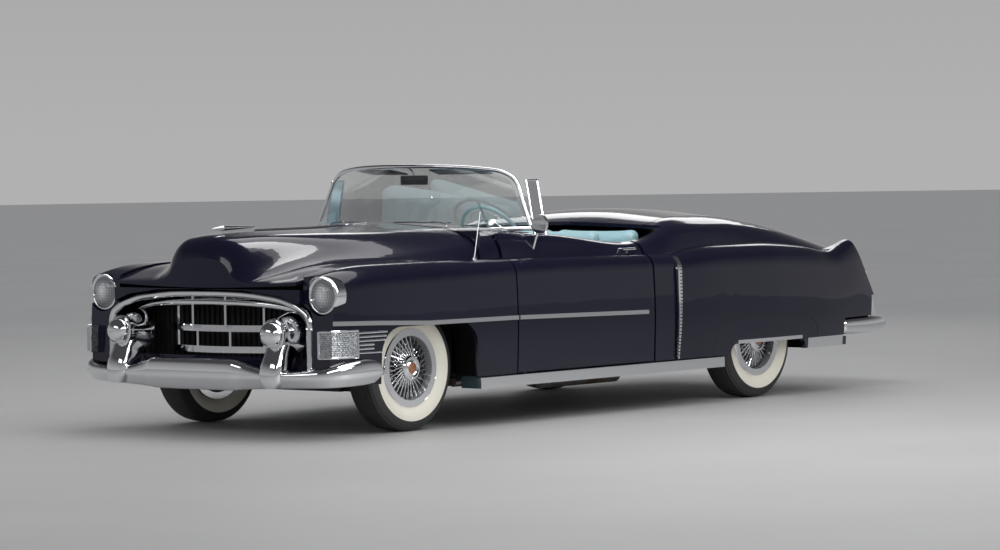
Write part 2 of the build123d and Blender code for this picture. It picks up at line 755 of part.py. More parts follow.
cover_block = lid_block(cover_front_y, cover_rear_y, cover_side_x, cover_rear_side_x, 0, 0, 0)
cover_opening = lid_block(cover_front_y, cover_rear_y, cover_side_x, cover_rear_side_x, lid_gap, lid_gap,
                          lid_hinge_gap)
trunk_block = lid_block(trunk_front_y, trunk_rear_y, trunk_side_x, trunk_rear_side_x, 0, 0, 0)
trunk_opening = lid_block(trunk_front_y, trunk_rear_y, trunk_side_x, trunk_rear_side_x, lid_gap,
                          lid_hinge_gap, lid_gap)

with BuildPart() as rear_deck:
    add(rear_upper)
    add(rear_core, mode=Mode.SUBTRACT)
    cut_ahead(quarter_front_y)
    cut_behind(tail_panel_y)
    slab((-cockpit_side_x, -half_length, 0), (cockpit_side_x, cover_front_y, overall_height),
         mode=Mode.SUBTRACT)
    add(cover_opening, mode=Mode.SUBTRACT)
    add(trunk_opening, mode=Mode.SUBTRACT)
    strip = (cover_rear_y + lid_hinge_gap, trunk_front_y - lid_hinge_gap)
    for x in (-cover_hinge_x, cover_hinge_x):
        slab((x - hinge_lug_thick, strip[0], trunk_hinge_z - hinge_arm_drop),
             (x + hinge_lug_thick, strip[1], cover_hinge_z))
        hinge_arm(x, cover_hinge_y, cover_hinge_z, strip[0])
        hinge_arm(x, trunk_hinge_y, trunk_hinge_z, strip[1])
    add(front_outline(mirrored([(x * half_width, z * overall_height) for x, z in tail_panel_shares]),
                      tail_panel_y - tail_panel_thick, tail_panel_y))
finish(rear_deck.part, "rear_deck")

# Top cover and trunk lid: pieces of the same shell, hinged at the strip between them
with BuildPart() as top_cover:
    add(rear_upper)
    add(rear_core, mode=Mode.SUBTRACT)
    add(cover_block, mode=Mode.INTERSECT)
    for x in (-cover_hinge_x, cover_hinge_x):
        lid_hinge(x, cover_hinge_y, cover_hinge_z)
finish(top_cover.part, "top_cover")

with BuildPart() as trunk_lid:
    add(rear_upper)
    add(rear_core, mode=Mode.SUBTRACT)
    add(trunk_block, mode=Mode.INTERSECT)
    for x in (-cover_hinge_x, cover_hinge_x):
        lid_hinge(x, trunk_hinge_y, trunk_hinge_z)
finish(trunk_lid.part, "trunk_lid")

# Chassis
with BuildPart() as chassis_frame:
    line = [(rail_front_y, rail_nose_z)]
    line += [(y * half_length, rail_levels[level]) for y, level in rail_line_shares]
    line += [(rail_rear_y, rail_tail_z)]
    upper_line = [(y, z + rail_height) for y, z in reversed(line)]
    rail = side_outline(line + upper_line, rail_inner_x, rail_outer_x)
    add(both_sides(rail))
    for share in cross_member_y_shares:
        y = share * half_length
        rise = rail_low_z if -0.47 < share < 0.3 else rail_nose_z if share < 0 else rail_tail_z
        slab((-rail_inner_x, y, rise), (rail_inner_x, y + cross_member_length, rise + rail_height))
    for side in (-1, 1):
        low, high = sorted((side * rail_inner_x, side * (leaf_x + leaf_half_width)))
        for reach, low_z in ((-leaf_half_length, hanger_front_low_z), (leaf_half_length, hanger_rear_low_z)):
            y = rear_axle_y + reach
            slab((low, y - hanger_length / 2, low_z),
                 (high, y + hanger_length / 2, leaf_end_z - leaf_thick - hanger_clearance))
finish(chassis_frame.part, "chassis_frame")

# Floor: cabin floor with the sills, heel board and trunk floor
floor_front_y = cowl_front_y
heel_board_y = 620.0
sill_front_y = -1440.0
sill_rear_y = 860.0
sill_outer_x = 962.0
trunk_floor_z = rail_arch_z + rail_height + seat_gap
trunk_floor_side_x = rear_well_inner_x - rear_well_wall - seat_gap
trunk_floor_rear_y = 2500.0

with BuildPart() as floor_pan:
    slab((-sill_inner_x, floor_front_y, floor_bottom_z), (sill_inner_x, heel_board_y, floor_top_z))
    for side in (-1, 1):
        low, high = sorted((side * sill_inner_x, side * sill_outer_x))
        slab((low, sill_front_y, sill_bottom_z), (high, sill_rear_y, sill_top_z))
        for front, rear in ((sill_front_y, fender_rear_y), (quarter_front_y, sill_rear_y)):
            low, high = sorted((side * door_inner_x, side * (sill_outer_x - edge_lip)))
            slab((low, front, sill_bottom_z), (high, rear, body_bottom_z - seat_gap))
        with Locations((side * door_hinge_x, door_hinge_y, sill_top_z)):
            Cylinder(door_hinge_radius, door_hinge_height, align=standing)
    slab((-trunk_floor_side_x, heel_board_y, floor_bottom_z),
         (trunk_floor_side_x, heel_board_y + floor_thick, trunk_floor_z))
    slab((-trunk_floor_side_x, heel_board_y, trunk_floor_z),
         (trunk_floor_side_x, trunk_floor_rear_y, trunk_floor_z + floor_thick))
finish(floor_pan.part, "floor_pan")

# Tyres and wheels, built about the wheel's own middle
tyre_bead_radius = 190.0
tyre_wall_radius = 220.0
tyre_bulge_radius = 282.0
tyre_shoulder_radius = 349.0
tyre_bead_half = 75.0
tyre_tread_half = 74.0
rim_flange_radius = 219.0
rim_flange_thick = 10.0
rim_barrel_radius = 180.0
wheel_web_thick = 8.0
wheel_web_x = 30.0
hub_radius = 70.0
hub_out = 88.0
hub_in = 28.0
hub_bore_end = 40.0
spindle_end = 30.0
drum_radius = 150.0
drum_in = 20.0
spindle_radius = 20.0


def ring_about_x(points):
    """Ring turned about the wheel's axle from a closed outline of places along and out from it."""
    with BuildPart() as ring:
        with BuildSketch(Plane.XY):
            with BuildLine():
                Polyline(*points, close=True)
            make_face()
        revolve(axis=Axis.X)
    return ring.part


def tyre_ring():
    """Tyre with round side walls and a slightly crowned tread."""
    half_tyre = tyre_width / 2
    with BuildPart() as tyre:
        with BuildSketch(Plane.XY):
            with BuildLine():
                Line((-tyre_bead_half, tyre_bead_radius), (tyre_bead_half, tyre_bead_radius))
                Line((tyre_bead_half, tyre_bead_radius), (tyre_bead_half, tyre_wall_radius))
                ThreePointArc((tyre_bead_half, tyre_wall_radius), (half_tyre, tyre_bulge_radius),
                              (tyre_tread_half, tyre_shoulder_radius))
                ThreePointArc((tyre_tread_half, tyre_shoulder_radius), (0, tyre_radius),
                              (-tyre_tread_half, tyre_shoulder_radius))
                ThreePointArc((-tyre_tread_half, tyre_shoulder_radius), (-half_tyre, tyre_bulge_radius),
                              (-tyre_bead_half, tyre_wall_radius))
                Line((-tyre_bead_half, tyre_wall_radius), (-tyre_bead_half, tyre_bead_radius))
            make_face()
        revolve(axis=Axis.X)
    return tyre.part


def rim_body():
    """Rim with its flanges, web, hub and brake drum, its outer face towards +X."""
    inner = tyre_bead_half + seat_gap
    outer = inner + rim_flange_thick
    barrel = tyre_bead_radius - seat_gap
    profile = [(-outer, rim_barrel_radius), (-outer, rim_flange_radius), (-inner, rim_flange_radius),
               (-inner, barrel), (inner, barrel), (inner, rim_flange_radius), (outer, rim_flange_radius),
               (outer, rim_barrel_radius)]
    with BuildPart() as rim:
        add(ring_about_x(profile))
        cylinder_x(wheel_web_x, wheel_web_x + wheel_web_thick, 0, 0, rim_barrel_radius + seat_gap)
        cylinder_x(-hub_in, hub_out, 0, 0, hub_radius)
        cylinder_x(-drum_in, wheel_web_x, 0, 0, drum_radius)
        cylinder_x(-overall_width, hub_bore_end, 0, 0, spindle_radius + pin_clearance, mode=Mode.SUBTRACT)
    return rim.part


tyre = tyre_ring()
rim = rim_body()
for end, axle_y, track in (("front", front_axle_y, front_track), ("rear", rear_axle_y, rear_track)):
    for side, turn, hand in (("left", 0, 1), ("right", 180, -1)):
        place = Location((hand * track / 2, axle_y, axle_z), (0, 0, turn))
        finish(place * tyre, "tyre_" + end + "_" + side)
        finish(place * rim, "rim_" + end + "_" + side)

# Front suspension: cross member, towers and arms that hold the steering posts
king_pin_x = 690.0
post_radius = 25.0
post_bottom_z = 236.0
post_top_z = 464.0
arm_thick = 24.0
arm_half_width = 30.0
tower_inner_x = 300.0
tower_outer_x = rail_inner_x - seat_gap
front_cross_half_length = 70.0

with BuildPart() as knuckle_left:
    with Locations((king_pin_x, front_axle_y, post_bottom_z)):
        Cylinder(post_radius, post_top_z - post_bottom_z, align=standing)
    cylinder_x(king_pin_x, front_track / 2 + spindle_end, front_axle_y, axle_z, spindle_radius)
finish(knuckle_left.part, "knuckle_left")
finish(other_side(knuckle_left.part), "knuckle_right")

lower_arm_z = post_bottom_z - seat_gap - arm_thick
upper_arm_z = post_top_z + seat_gap
with BuildPart() as front_suspension:
    slab((-tower_outer_x, front_axle_y - front_cross_half_length, lower_arm_z),
         (tower_outer_x, front_axle_y + front_cross_half_length, rail_nose_z))
    for side in (-1, 1):
        low, high = sorted((side * tower_inner_x, side * tower_outer_x))
        slab((low, front_axle_y - front_cross_half_length, rail_nose_z),
             (high, front_axle_y + front_cross_half_length, upper_arm_z + arm_thick))
        low, high = sorted((side * tower_inner_x, side * king_pin_x))
        for z in (lower_arm_z, upper_arm_z):
            slab((low, front_axle_y - arm_half_width, z), (high, front_axle_y + arm_half_width, z + arm_thick))
            with Locations((side * king_pin_x, front_axle_y, z)):
                Cylinder(arm_half_width, arm_thick, align=standing)
finish(front_suspension.part, "front_suspension")

# Rear axle with its housing and leaf springs
axle_tube_radius = 42.0
axle_tube_x = 690.0
housing_radius = 140.0

leaf_seat_half = 60.0
leaf_seat_z = axle_z - axle_tube_radius / 2
leaf_line = [(rear_axle_y - leaf_half_length, leaf_end_z), (rear_axle_y - leaf_seat_half, leaf_seat_z),
             (rear_axle_y + leaf_seat_half, leaf_seat_z), (rear_axle_y + leaf_half_length, leaf_end_z)]
leaf_under = [(y, z - leaf_thick) for y, z in reversed(leaf_line)]

rear_spindle_x = rear_track / 2 + spindle_end
housing_end_x = sqrt(housing_radius**2 - axle_tube_radius**2)

with BuildPart() as rear_axle:
    with BuildSketch(Plane(origin=(0, rear_axle_y, axle_z), x_dir=(1, 0, 0), z_dir=(0, 0, 1))):
        with BuildLine():
            half = [(housing_end_x, axle_tube_radius), (axle_tube_x, axle_tube_radius),
                    (axle_tube_x, spindle_radius), (rear_spindle_x, spindle_radius), (rear_spindle_x, 0)]
            Polyline(*half)
            ThreePointArc(half[0], (0, housing_radius), (-housing_end_x, axle_tube_radius))
            Polyline(*[(-x, radius) for x, radius in half])
            Line(half[-1], (-rear_spindle_x, 0))
        make_face()
    revolve(axis=Axis((0, rear_axle_y, axle_z), (1, 0, 0)))
    for x in (-leaf_x, leaf_x):
        add(side_outline(leaf_line + leaf_under, x - leaf_half_width, x + leaf_half_width))
finish(rear_axle.part, "rear_axle")

# Engine block on the front rails, and the radiator ahead of it
engine_half_width = 270.0
engine_front_y = -2060.0
engine_rear_y = -1340.0
engine_bottom_z = 375.0
engine_top_z = 870.0
engine_foot_y = -1700.0
engine_foot_length = 80.0
engine_foot_height = 50.0
radiator_front_y = -2420.0
radiator_thick = 60.0
radiator_top_z = 800.0

with BuildPart() as engine_block:
    slab((-engine_half_width, engine_front_y, engine_bottom_z),
         (engine_half_width, engine_rear_y, engine_top_z))
    slab((-rail_outer_x, engine_foot_y, rail_nose_z + rail_height + seat_gap),
         (rail_outer_x, engine_foot_y + engine_foot_length, rail_nose_z + rail_height + engine_foot_height))
finish(engine_block.part, "engine_block")

with BuildPart() as radiator:
    slab((-rail_outer_x, radiator_front_y, rail_nose_z + rail_height + seat_gap),
         (rail_outer_x, radiator_front_y + radiator_thick, radiator_top_z))
finish(radiator.part, "radiator")

# Exhaust pipes under the floor
exhaust_x = 520.0
exhaust_radius = 25.0
exhaust_z = 222.0
exhaust_front_y = -1150.0
exhaust_rear_y = 1080.0
exhaust_hanger_y_shares = [-0.30, 0.20]
exhaust_hanger = 20.0
muffler_radius = 55.0
muffler_half_length = 350.0

with BuildPart() as exhaust:
    for x in (-exhaust_x, exhaust_x):
        rod((x, exhaust_front_y, exhaust_z), (x, exhaust_rear_y, exhaust_z), exhaust_radius)
        rod((x, -muffler_half_length, exhaust_z - exhaust_radius),
            (x, muffler_half_length, exhaust_z - exhaust_radius),
            muffler_radius)
        for share in exhaust_hanger_y_shares:
            y = share * half_length
            slab((x - exhaust_hanger / 2, y - exhaust_hanger / 2, exhaust_z),
                 (x + exhaust_hanger / 2, y + exhaust_hanger / 2, floor_bottom_z - seat_gap))
finish(exhaust.part, "exhaust")

# Dashboard, column and steering wheel
dash_side_x = pillar_inner_x - seat_gap
dash_front_y = -1130.0
dash_rear_y = -900.0
dash_bottom_z = 850.0
dash_top_z = 1048.0
dash_corner = 50.0
steer_x = 380.0
steer_y = -602.0
steer_z = 1047.0
steer_lean = 32.0
steer_radius = 215.0
steer_rim_radius = 11.0
steer_hub_radius = 45.0
steer_hub_thick = 50.0
steer_spoke_radius = 7.0
steer_shaft_radius = 10.0
steer_shaft_length = 80.0
column_radius = 27.0
column_length = 690.0
column_gap = 6.0
horn_ring_radius = 120.0
horn_ring_thick = 4.0

steer_plane = Plane(origin=(steer_x, steer_y, steer_z), x_dir=(1, 0, 0),
                    z_dir=(0, cos(radians(steer_lean)), sin(radians(steer_lean))))
with BuildPart() as steering_wheel:
    with Locations(steer_plane):
        Torus(steer_radius, steer_rim_radius)
        Cylinder(steer_hub_radius, steer_hub_thick)
        Torus(horn_ring_radius, horn_ring_thick)
        Cylinder(steer_shaft_radius, steer_hub_thick / 2 + steer_shaft_length, align=hanging)
        for spoke in (-1, 0, 1):
            with Locations(Location((0, 0, 0), (0, 0, -90 + 80 * spoke))):
                Cylinder(steer_spoke_radius, steer_radius, rotation=(0, 90, 0), align=standing)
finish(steering_wheel.part, "steering_wheel")

with BuildPart() as steering_column:
    with Locations(steer_plane.offset(-steer_hub_thick / 2 - column_gap)):
        Cylinder(column_radius, column_length, align=hanging)
        Cylinder(steer_shaft_radius + pin_clearance, steer_shaft_length, align=hanging,
                 mode=Mode.SUBTRACT)
finish(steering_column.part, "steering_column")

with BuildPart() as dashboard:
    slab((-dash_side_x, dash_front_y, dash_bottom_z), (dash_side_x, dash_rear_y, dash_top_z))
    fillet(dashboard.edges().filter_by(Axis.X).sort_by(Axis.Y)[-2:], dash_corner)
    with Locations(steer_plane):
        Cylinder(column_radius + seat_gap, overall_height, mode=Mode.SUBTRACT)
finish(dashboard.part, "dashboard")

# Front panel: the nose strip over the grille, and a valance on the rails
nose_strip_thick = 40.0
nose_strip_side_x = 713.0
nose_strip_low_z = 640.0
nose_strip_high_z = 820.0
valance_front_y = -2560.0
valance_thick = 25.0
valance_high_z = 440.0

with BuildPart() as front_panel:
    slab((-nose_strip_side_x, -half_length, nose_strip_low_z),
         (nose_strip_side_x, grille_front_y + grille_recess, nose_strip_high_z))
    add(nose_plan(0), mode=Mode.INTERSECT)
    add(nose_plan(nose_strip_thick), mode=Mode.SUBTRACT)
    add(grille_opening, mode=Mode.SUBTRACT)
    slab((-nose_strip_side_x, valance_front_y, rail_nose_z + rail_height + seat_gap),
         (nose_strip_side_x, valance_front_y + valance_thick, valance_high_z))
finish(front_panel.part, "front_panel")

# Grille: round surround and bowed bars with uprights between them
bar_front_y = -2600.0
bar_bow_radius = 837.0
bar_depth = 24.0
bar_height = 36.0
bar_end_x = 620.0
bar_mid_z = 596.0
bar_low_z = 478.0
bar_top_drop = 32.0
upright_width = 16.0
upright_x_shares = [0.124, 0.326, 0.529]


def bow_y(x):
    """Place along the car of the bars' front face."""
    return bar_front_y + bar_bow_radius - sqrt(bar_bow_radius**2 - x**2)


def bow_band(low_z, high_z):
    """Band of the bars' bow seen from above, between two heights."""
    with BuildPart() as band:
        with BuildSketch(at_z(low_z)):
            with BuildLine():
                end_y = bow_y(bar_end_x)
                front = ThreePointArc((bar_end_x, end_y), (0, bar_front_y), (-bar_end_x, end_y))
                back = ThreePointArc((bar_end_x, end_y + bar_depth), (0, bar_front_y + bar_depth),
                                     (-bar_end_x, end_y + bar_depth))
                Line(front @ 0, back @ 0)
                Line(front @ 1, back @ 1)
            make_face()
        extrude(amount=high_z - low_z)
    return band.part


def arch_band(out_low, out_high):
    """Everything between two lines that follow the grille's arch."""
    with BuildPart() as arch:
        add(front_outline(grille_points(out_high), -half_length, 0))
        add(front_outline(grille_points(out_low), -half_length, 0), mode=Mode.SUBTRACT)
    return arch.part


with BuildPart() as top_bar:
    add(bow_band(bar_mid_z + bar_height, overall_height))
    add(arch_band(-bar_top_drop - bar_height, -bar_top_drop), mode=Mode.INTERSECT)

with BuildPart() as grille:
    with BuildLine(at_y(grille_front_y)) as surround_line:
        points = grille_points(0)
        FilletPolyline(*points, radius=eased(points))
    with BuildSketch(Plane(origin=surround_line.line @ 0, z_dir=surround_line.line % 0)):
        Circle(grille_tube_radius)
    sweep(path=surround_line.line)
    add(top_bar.part)
    for z in (bar_low_z, bar_mid_z):
        add(bow_band(z - bar_height / 2, z + bar_height / 2))
    for share in upright_x_shares:
        x = share * half_width
        for side in (-x, x):
            slab((side - upright_width / 2, bow_y(x) + bar_depth / 4, bar_low_z),
                 (side + upright_width / 2, bow_y(x) + bar_depth, grille_arch_shares[-1][1] * overall_height - 2 * bar_top_drop))
    for x in (-upright_x_shares[0] * half_width, upright_x_shares[0] * half_width):
        slab((x - upright_width / 2, grille_front_y, bar_mid_z),
             (x + upright_width / 2, bow_y(x) + bar_depth, grille_arch_shares[-1][1] * overall_height))
finish(grille.part, "grille")

# Headlamps: bucket, rounded rim and domed lens, turned about the lamp's axis
lamp_rim_radius = 12.0
lens_dome = 30.0
lens_radius = lamp_radius - 2 * lamp_rim_radius
lens_sphere_radius = (lens_radius**2 + lens_dome**2) / (2 * lens_dome)
lens_half_angle = asin(lens_radius / lens_sphere_radius) / 2
lens_centre_y = lamp_y - lens_dome + lens_sphere_radius

with BuildPart() as headlamp:
    with BuildSketch(at_x(lamp_x)) as lamp_face:
        with BuildLine():
            lens_edge = (lamp_y, lamp_z + lens_radius)
            lens_middle = (lens_centre_y - lens_sphere_radius * cos(lens_half_angle),
                           lamp_z + lens_sphere_radius * sin(lens_half_angle))
            pole = (lamp_y - lens_dome, lamp_z)
            back = (lamp_y + lamp_depth, lamp_z)
            ThreePointArc(pole, lens_middle, lens_edge)
            ThreePointArc(lens_edge, (lamp_y - lamp_rim_radius, lamp_z + lamp_radius - lamp_rim_radius),
                          (lamp_y, lamp_z + lamp_radius))
            Polyline((lamp_y, lamp_z + lamp_radius), (back[0], lamp_z + lamp_radius), back, pole)
        make_face()
    revolve(lamp_face.sketch, axis=Axis((lamp_x, lamp_y, lamp_z), (0, 1, 0)))
finish(both_sides(headlamp.part), "headlamps")
finish(both_sides(parking_block(0)), "parking_lamps")

# Front bumper: wrapped bar with guards that carry the two domes
bumper_low_z = 262.0
bumper_high_z = 432.0
bumper_outer_shares = [(0.993, -0.809), (0.973, -0.972), (0.000, -0.995)]
bumper_inner_shares = [(0.975, -0.809), (0.951, -0.949), (0.000, -0.972)]
bumper_corner = 110.0
dome_x = 594.0
dome_z = 577.0
dome_radius = 80.0
dome_base_y = -2560.0
dome_round_y = -2690.0
guard_half_width = 56.0
guard_rear_y = -2600.0
guard_front_y = -2770.0
bracket_height = 50.0


def bumper_line(shares):
    """Closed plan outline of a bumper bar from the shares of its two edges."""
    return [(x * half_width, y * half_length) for x, y in shares]


with BuildPart() as front_bumper:
    with BuildSketch(at_z(bumper_low_z)):
        with BuildLine():
            outer = mirrored(bumper_line(bumper_outer_shares[:-1]), bumper_line(bumper_outer_shares[-1:]))
            inner = mirrored(bumper_line(bumper_inner_shares[:-1]), bumper_line(bumper_inner_shares[-1:]))
            FilletPolyline(*outer, radius=[bumper_corner, 5 * bumper_corner, bumper_corner])
            FilletPolyline(*inner, radius=[bumper_corner, 5 * bumper_corner, bumper_corner])
            Line(outer[0], inner[0])
            Line(outer[-1], inner[-1])
        make_face()
    extrude(amount=bumper_high_z - bumper_low_z)
    for x in (-dome_x, dome_x):
        slab((x - guard_half_width, guard_front_y, bumper_low_z), (x + guard_half_width, guard_rear_y, dome_z))
        rod((x, dome_base_y, dome_z), (x, dome_round_y, dome_z), dome_radius)
        with Locations((x, dome_round_y, dome_z)):
            with Locations(Location((0, 0, 0), (90, 0, 0))):
                Cone(dome_radius, dome_radius / 4, dome_round_y + half_length, align=standing)
    for side in (-1, 1):
        low, high = sorted((side * rail_inner_x, side * rail_outer_x))
        slab((low, bumper_inner_shares[-1][1] * half_length, rail_nose_z),
             (high, rail_front_y - seat_gap, rail_nose_z + bracket_height))
finish(front_bumper.part, "front_bumper")

# Rear bumper: bar between the two pods that end the fenders
rear_bar_low_z = 400.0
rear_bar_high_z = 520.0
rear_bar_thick = 60.0
rear_bar_end_y = 2700.0

with BuildPart() as rear_bumper:
    with BuildSketch(at_z(rear_bar_low_z)):
        with BuildLine():
            end_x = pod_plan_shares[0][0] * half_width
            front = ThreePointArc((end_x, rear_bar_end_y), (0, half_length), (-end_x, rear_bar_end_y))
            back = ThreePointArc((end_x, rear_bar_end_y - rear_bar_thick), (0, half_length - rear_bar_thick),
                                 (-end_x, rear_bar_end_y - rear_bar_thick))
            Line(front @ 0, back @ 0)
            Line(front @ 1, back @ 1)
        make_face()
    extrude(amount=rear_bar_high_z - rear_bar_low_z)
    add(both_sides(pod_left.part))
    for side in (-1, 1):
        low, high = sorted((side * rail_inner_x, side * rail_outer_x))
        slab((low, rail_rear_y + seat_gap, rail_tail_z + rail_height / 2),
             (high, half_length - rear_bar_thick, rear_bar_low_z + rail_height / 2))
finish(rear_bumper.part, "rear_bumper")

# Tail lamps on the slanted ends of the rear fenders
tail_lamp_x = 880.0
tail_lamp_half_width = 26.0
tail_lamp_reach = 30.0
tail_lamp_low_z = 700.0
tail_lamp_high_z = 905.0


def tail_face_y(z):
    """Place along the car of the fender's slanted end."""
    return tail_high_y + (tail_low_y - tail_high_y) * (tail_high_z - z) / (tail_high_z - tail_low_z)


with BuildPart() as tail_lamp:
    add(side_outline([(tail_face_y(tail_lamp_low_z), tail_lamp_low_z),
                      (tail_face_y(tail_lamp_low_z) + tail_lamp_reach, tail_lamp_low_z + tail_lamp_reach),
                      (tail_face_y(tail_lamp_high_z) + tail_lamp_reach, tail_lamp_high_z - tail_lamp_reach),
                      (tail_face_y(tail_lamp_high_z), tail_lamp_high_z)],
                     tail_lamp_x - tail_lamp_half_width, tail_lamp_x + tail_lamp_half_width))
finish(both_sides(tail_lamp.part), "tail_lamps")

# Bright trim on the body sides: spear, rocker strip, scoop, skirt edge and lower rear strip
spear_half_height = 12.0
spear_line_shares = [(-0.935, 0.429), (-0.820, 0.423), (-0.670, 0.411), (-0.400, 0.408), (0.033, 0.394)]
spear_break_y = fender_rear_y
rocker_out = 22.0
scoop_shares = [(0.123, 0.195), (0.136, 0.195), (0.150, 0.608), (0.137, 0.608)]
skirt_trim_height = 22.0
rear_strip_front_y = 1712.0


def band_along(line_shares, half_height):
    """Side band about a line across the whole width."""
    line = [(y * half_length, z * overall_height) for y, z in line_shares]
    above = [(y, z + half_height) for y, z in line]
    below = [(y, z - half_height) for y, z in reversed(line)]
    return side_outline(above + below, door_inner_x, overall_width)


with BuildPart() as spear:
    add(front_trim)
    add(band_along(spear_line_shares, spear_half_height), mode=Mode.INTERSECT)
    add(front_side, mode=Mode.SUBTRACT)

with BuildPart() as side_trim_left:
    add(spear.part)
    slab((0, spear_break_y, 0), (overall_width, half_length, overall_height), mode=Mode.SUBTRACT)
    slab((sill_outer_x + seat_gap, sill_front_y, sill_bottom_z),
         (sill_outer_x + rocker_out, sill_rear_y, sill_top_z))

with BuildPart() as rear_strips:
    add(side_outline([(y * half_length, z * overall_height) for y, z in scoop_shares],
                     door_inner_x, overall_width))
    slab((door_inner_x, skirt_front_y + skirt_corner, skirt_bottom_z),
         (overall_width, skirt_rear_y - skirt_corner, skirt_bottom_z + skirt_trim_height))
    slab((door_inner_x, rear_strip_front_y, body_bottom_z),
         (overall_width, rear_foot_y - cut_over, skirt_bottom_z))

with BuildPart() as rear_side_trim:
    add(rear_trim)
    add(rear_strips.part, mode=Mode.INTERSECT)
    add(rear_side, mode=Mode.SUBTRACT)
    add(front_side, mode=Mode.SUBTRACT)

side_trim_left = side_trim_left.part + rear_side_trim.part
finish(side_trim_left, "side_trim_left")
finish(other_side(side_trim_left), "side_trim_right")

# Door trim: spear, handle, mirror on the driver's side, and the vent frame with its pane
handle_x = 926.0
handle_z = 962.0
handle_front_y = -62.0
handle_rear_y = 62.0
handle_radius = 8.0
handle_post_reach = 45.0
mirror_x = 926.0
mirror_y = -828.0
mirror_z = 1134.0
mirror_radius = 55.0
mirror_thick = 20.0
mirror_stem_radius = 7.0
mirror_foot_x = 872.0
mirror_foot_z = 990.0
vent_bar_radius = 7.0
vent_rear_y = -650.0
vent_front_y = -752.0
vent_low_x = 826.0
vent_high_x = 764.0
vent_low_z = 1060.0
vent_high_z = 1385.0
vent_glass_thick = 4.0

vent_front_low = (vent_low_x, vent_front_y, vent_low_z)
vent_front_high = (vent_high_x, vent_front_y, vent_high_z)
vent_rear_low = (vent_low_x, vent_rear_y, vent_low_z)
vent_rear_high = (vent_high_x, vent_rear_y, vent_high_z)

with BuildPart() as door_spear:
    add(spear.part)
    slab((0, -half_length, 0), (overall_width, door_front_y, overall_height), mode=Mode.SUBTRACT)

with BuildPart() as vent:
    rod(vent_front_low, vent_front_high, vent_bar_radius)
    rod(vent_rear_low, vent_rear_high, vent_bar_radius)
    rod(vent_front_high, vent_rear_high, vent_bar_radius)
    for corner in (vent_front_high, vent_rear_high):
        with Locations(corner):
            Sphere(vent_bar_radius)
    half_glass = vent_glass_thick / 2
    add(front_outline([(vent_low_x - half_glass, vent_low_z), (vent_low_x + half_glass, vent_low_z),
                       (vent_high_x + half_glass, vent_high_z), (vent_high_x - half_glass, vent_high_z)],
                      vent_front_y, vent_rear_y))
    add(door_left.part, mode=Mode.SUBTRACT)

with BuildPart() as handle:
    rod((handle_x, handle_front_y, handle_z), (handle_x, handle_rear_y, handle_z), handle_radius)
    for y in (handle_front_y + 2 * handle_radius, handle_rear_y - 2 * handle_radius):
        rod((handle_x - handle_post_reach, y, handle_z), (handle_x, y, handle_z), handle_radius)
    add(door_left.part, mode=Mode.SUBTRACT)

with BuildPart() as mirror_head:
    rod((mirror_foot_x, mirror_y, mirror_foot_z), (mirror_x, mirror_y, mirror_z), mirror_stem_radius)
    rod((mirror_x, mirror_y - mirror_thick / 2, mirror_z),
        (mirror_x, mirror_y + mirror_thick / 2, mirror_z), mirror_radius)
    add(door_left.part, mode=Mode.SUBTRACT)

door_trim = door_spear.part + vent.part + handle.part
finish(door_trim + mirror_head.part, "door_trim_left")
finish(other_side(door_trim), "door_trim_right")

# Seats: two benches, closed solids with rounded corners
seat_side_x = 690.0
front_seat_shares = [(-0.186, 0.160), (0.043, 0.160), (0.050, 0.726), (0.041, 0.754), (0.021, 0.754), (0.009, 0.719),
                     (-0.018, 0.383), (-0.178, 0.403), (-0.189, 0.376)]
rear_seat_shares = [(0.071, 0.160), (0.214, 0.160), (0.200, 0.605), (0.163, 0.742), (0.142, 0.748), (0.134, 0.719),
                    (0.118, 0.390), (0.077, 0.403), (0.068, 0.376)]
seat_round = 25.0


def bench(shares, side_x):
    """Bench seat from its side outline, with eased edges."""
    with BuildPart() as seat:
        add(side_outline([(y * half_length, z * overall_height) for y, z in shares], -side_x, side_x))
        fillet(seat.edges().filter_by(Axis.X), seat_round / 2)
        slab((-side_x, -half_length, 0), (side_x, half_length, floor_top_z + seat_gap), mode=Mode.SUBTRACT)
    return seat.part


finish(bench(front_seat_shares, seat_side_x), "front_seat")
finish(bench(rear_seat_shares, seat_side_x), "rear_seat")

# Hood ornament: a plain dart on a fin
dart_tip_y = -2590.0
dart_shoulder_y = -2500.0
dart_tail_y = -2240.0
dart_radius = 15.0
dart_tail_radius = 5.0
dart_z = 1152.0
dart_fin_half_width = 5.0

with BuildPart() as hood_ornament:
    with BuildSketch(Plane.XY.offset(dart_z)) as dart_face:
        with BuildLine():
            Polyline((0, dart_tip_y), (dart_radius, dart_shoulder_y), (dart_tail_radius, dart_tail_y), (0, dart_tail_y),
                     close=True)
        make_face()
    revolve(dart_face.sketch, axis=Axis((0, 0, dart_z), (0, 1, 0)))
    slab((-dart_fin_half_width, dart_shoulder_y, dart_z - cut_over), (dart_fin_half_width, dart_tail_y, dart_z))
    add(cowl_seat, mode=Mode.SUBTRACT)
finish(hood_ornament.part, "hood_ornament")
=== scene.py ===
# %% [markdown]
# # A 1950s convertible, dressed over its CAD frame
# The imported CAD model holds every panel, wheel and hinge at its real size. This lesson gives
# those solids their paint, chrome and glass, and adds what a solid is too plain for: the wire
# wheels, the lamps, the padded seats, the gauges and the small bright parts.

# %% Load the frame
from math import cos, pi, radians, sin

import bmesh
import bpy
from mathutils import Matrix, Vector


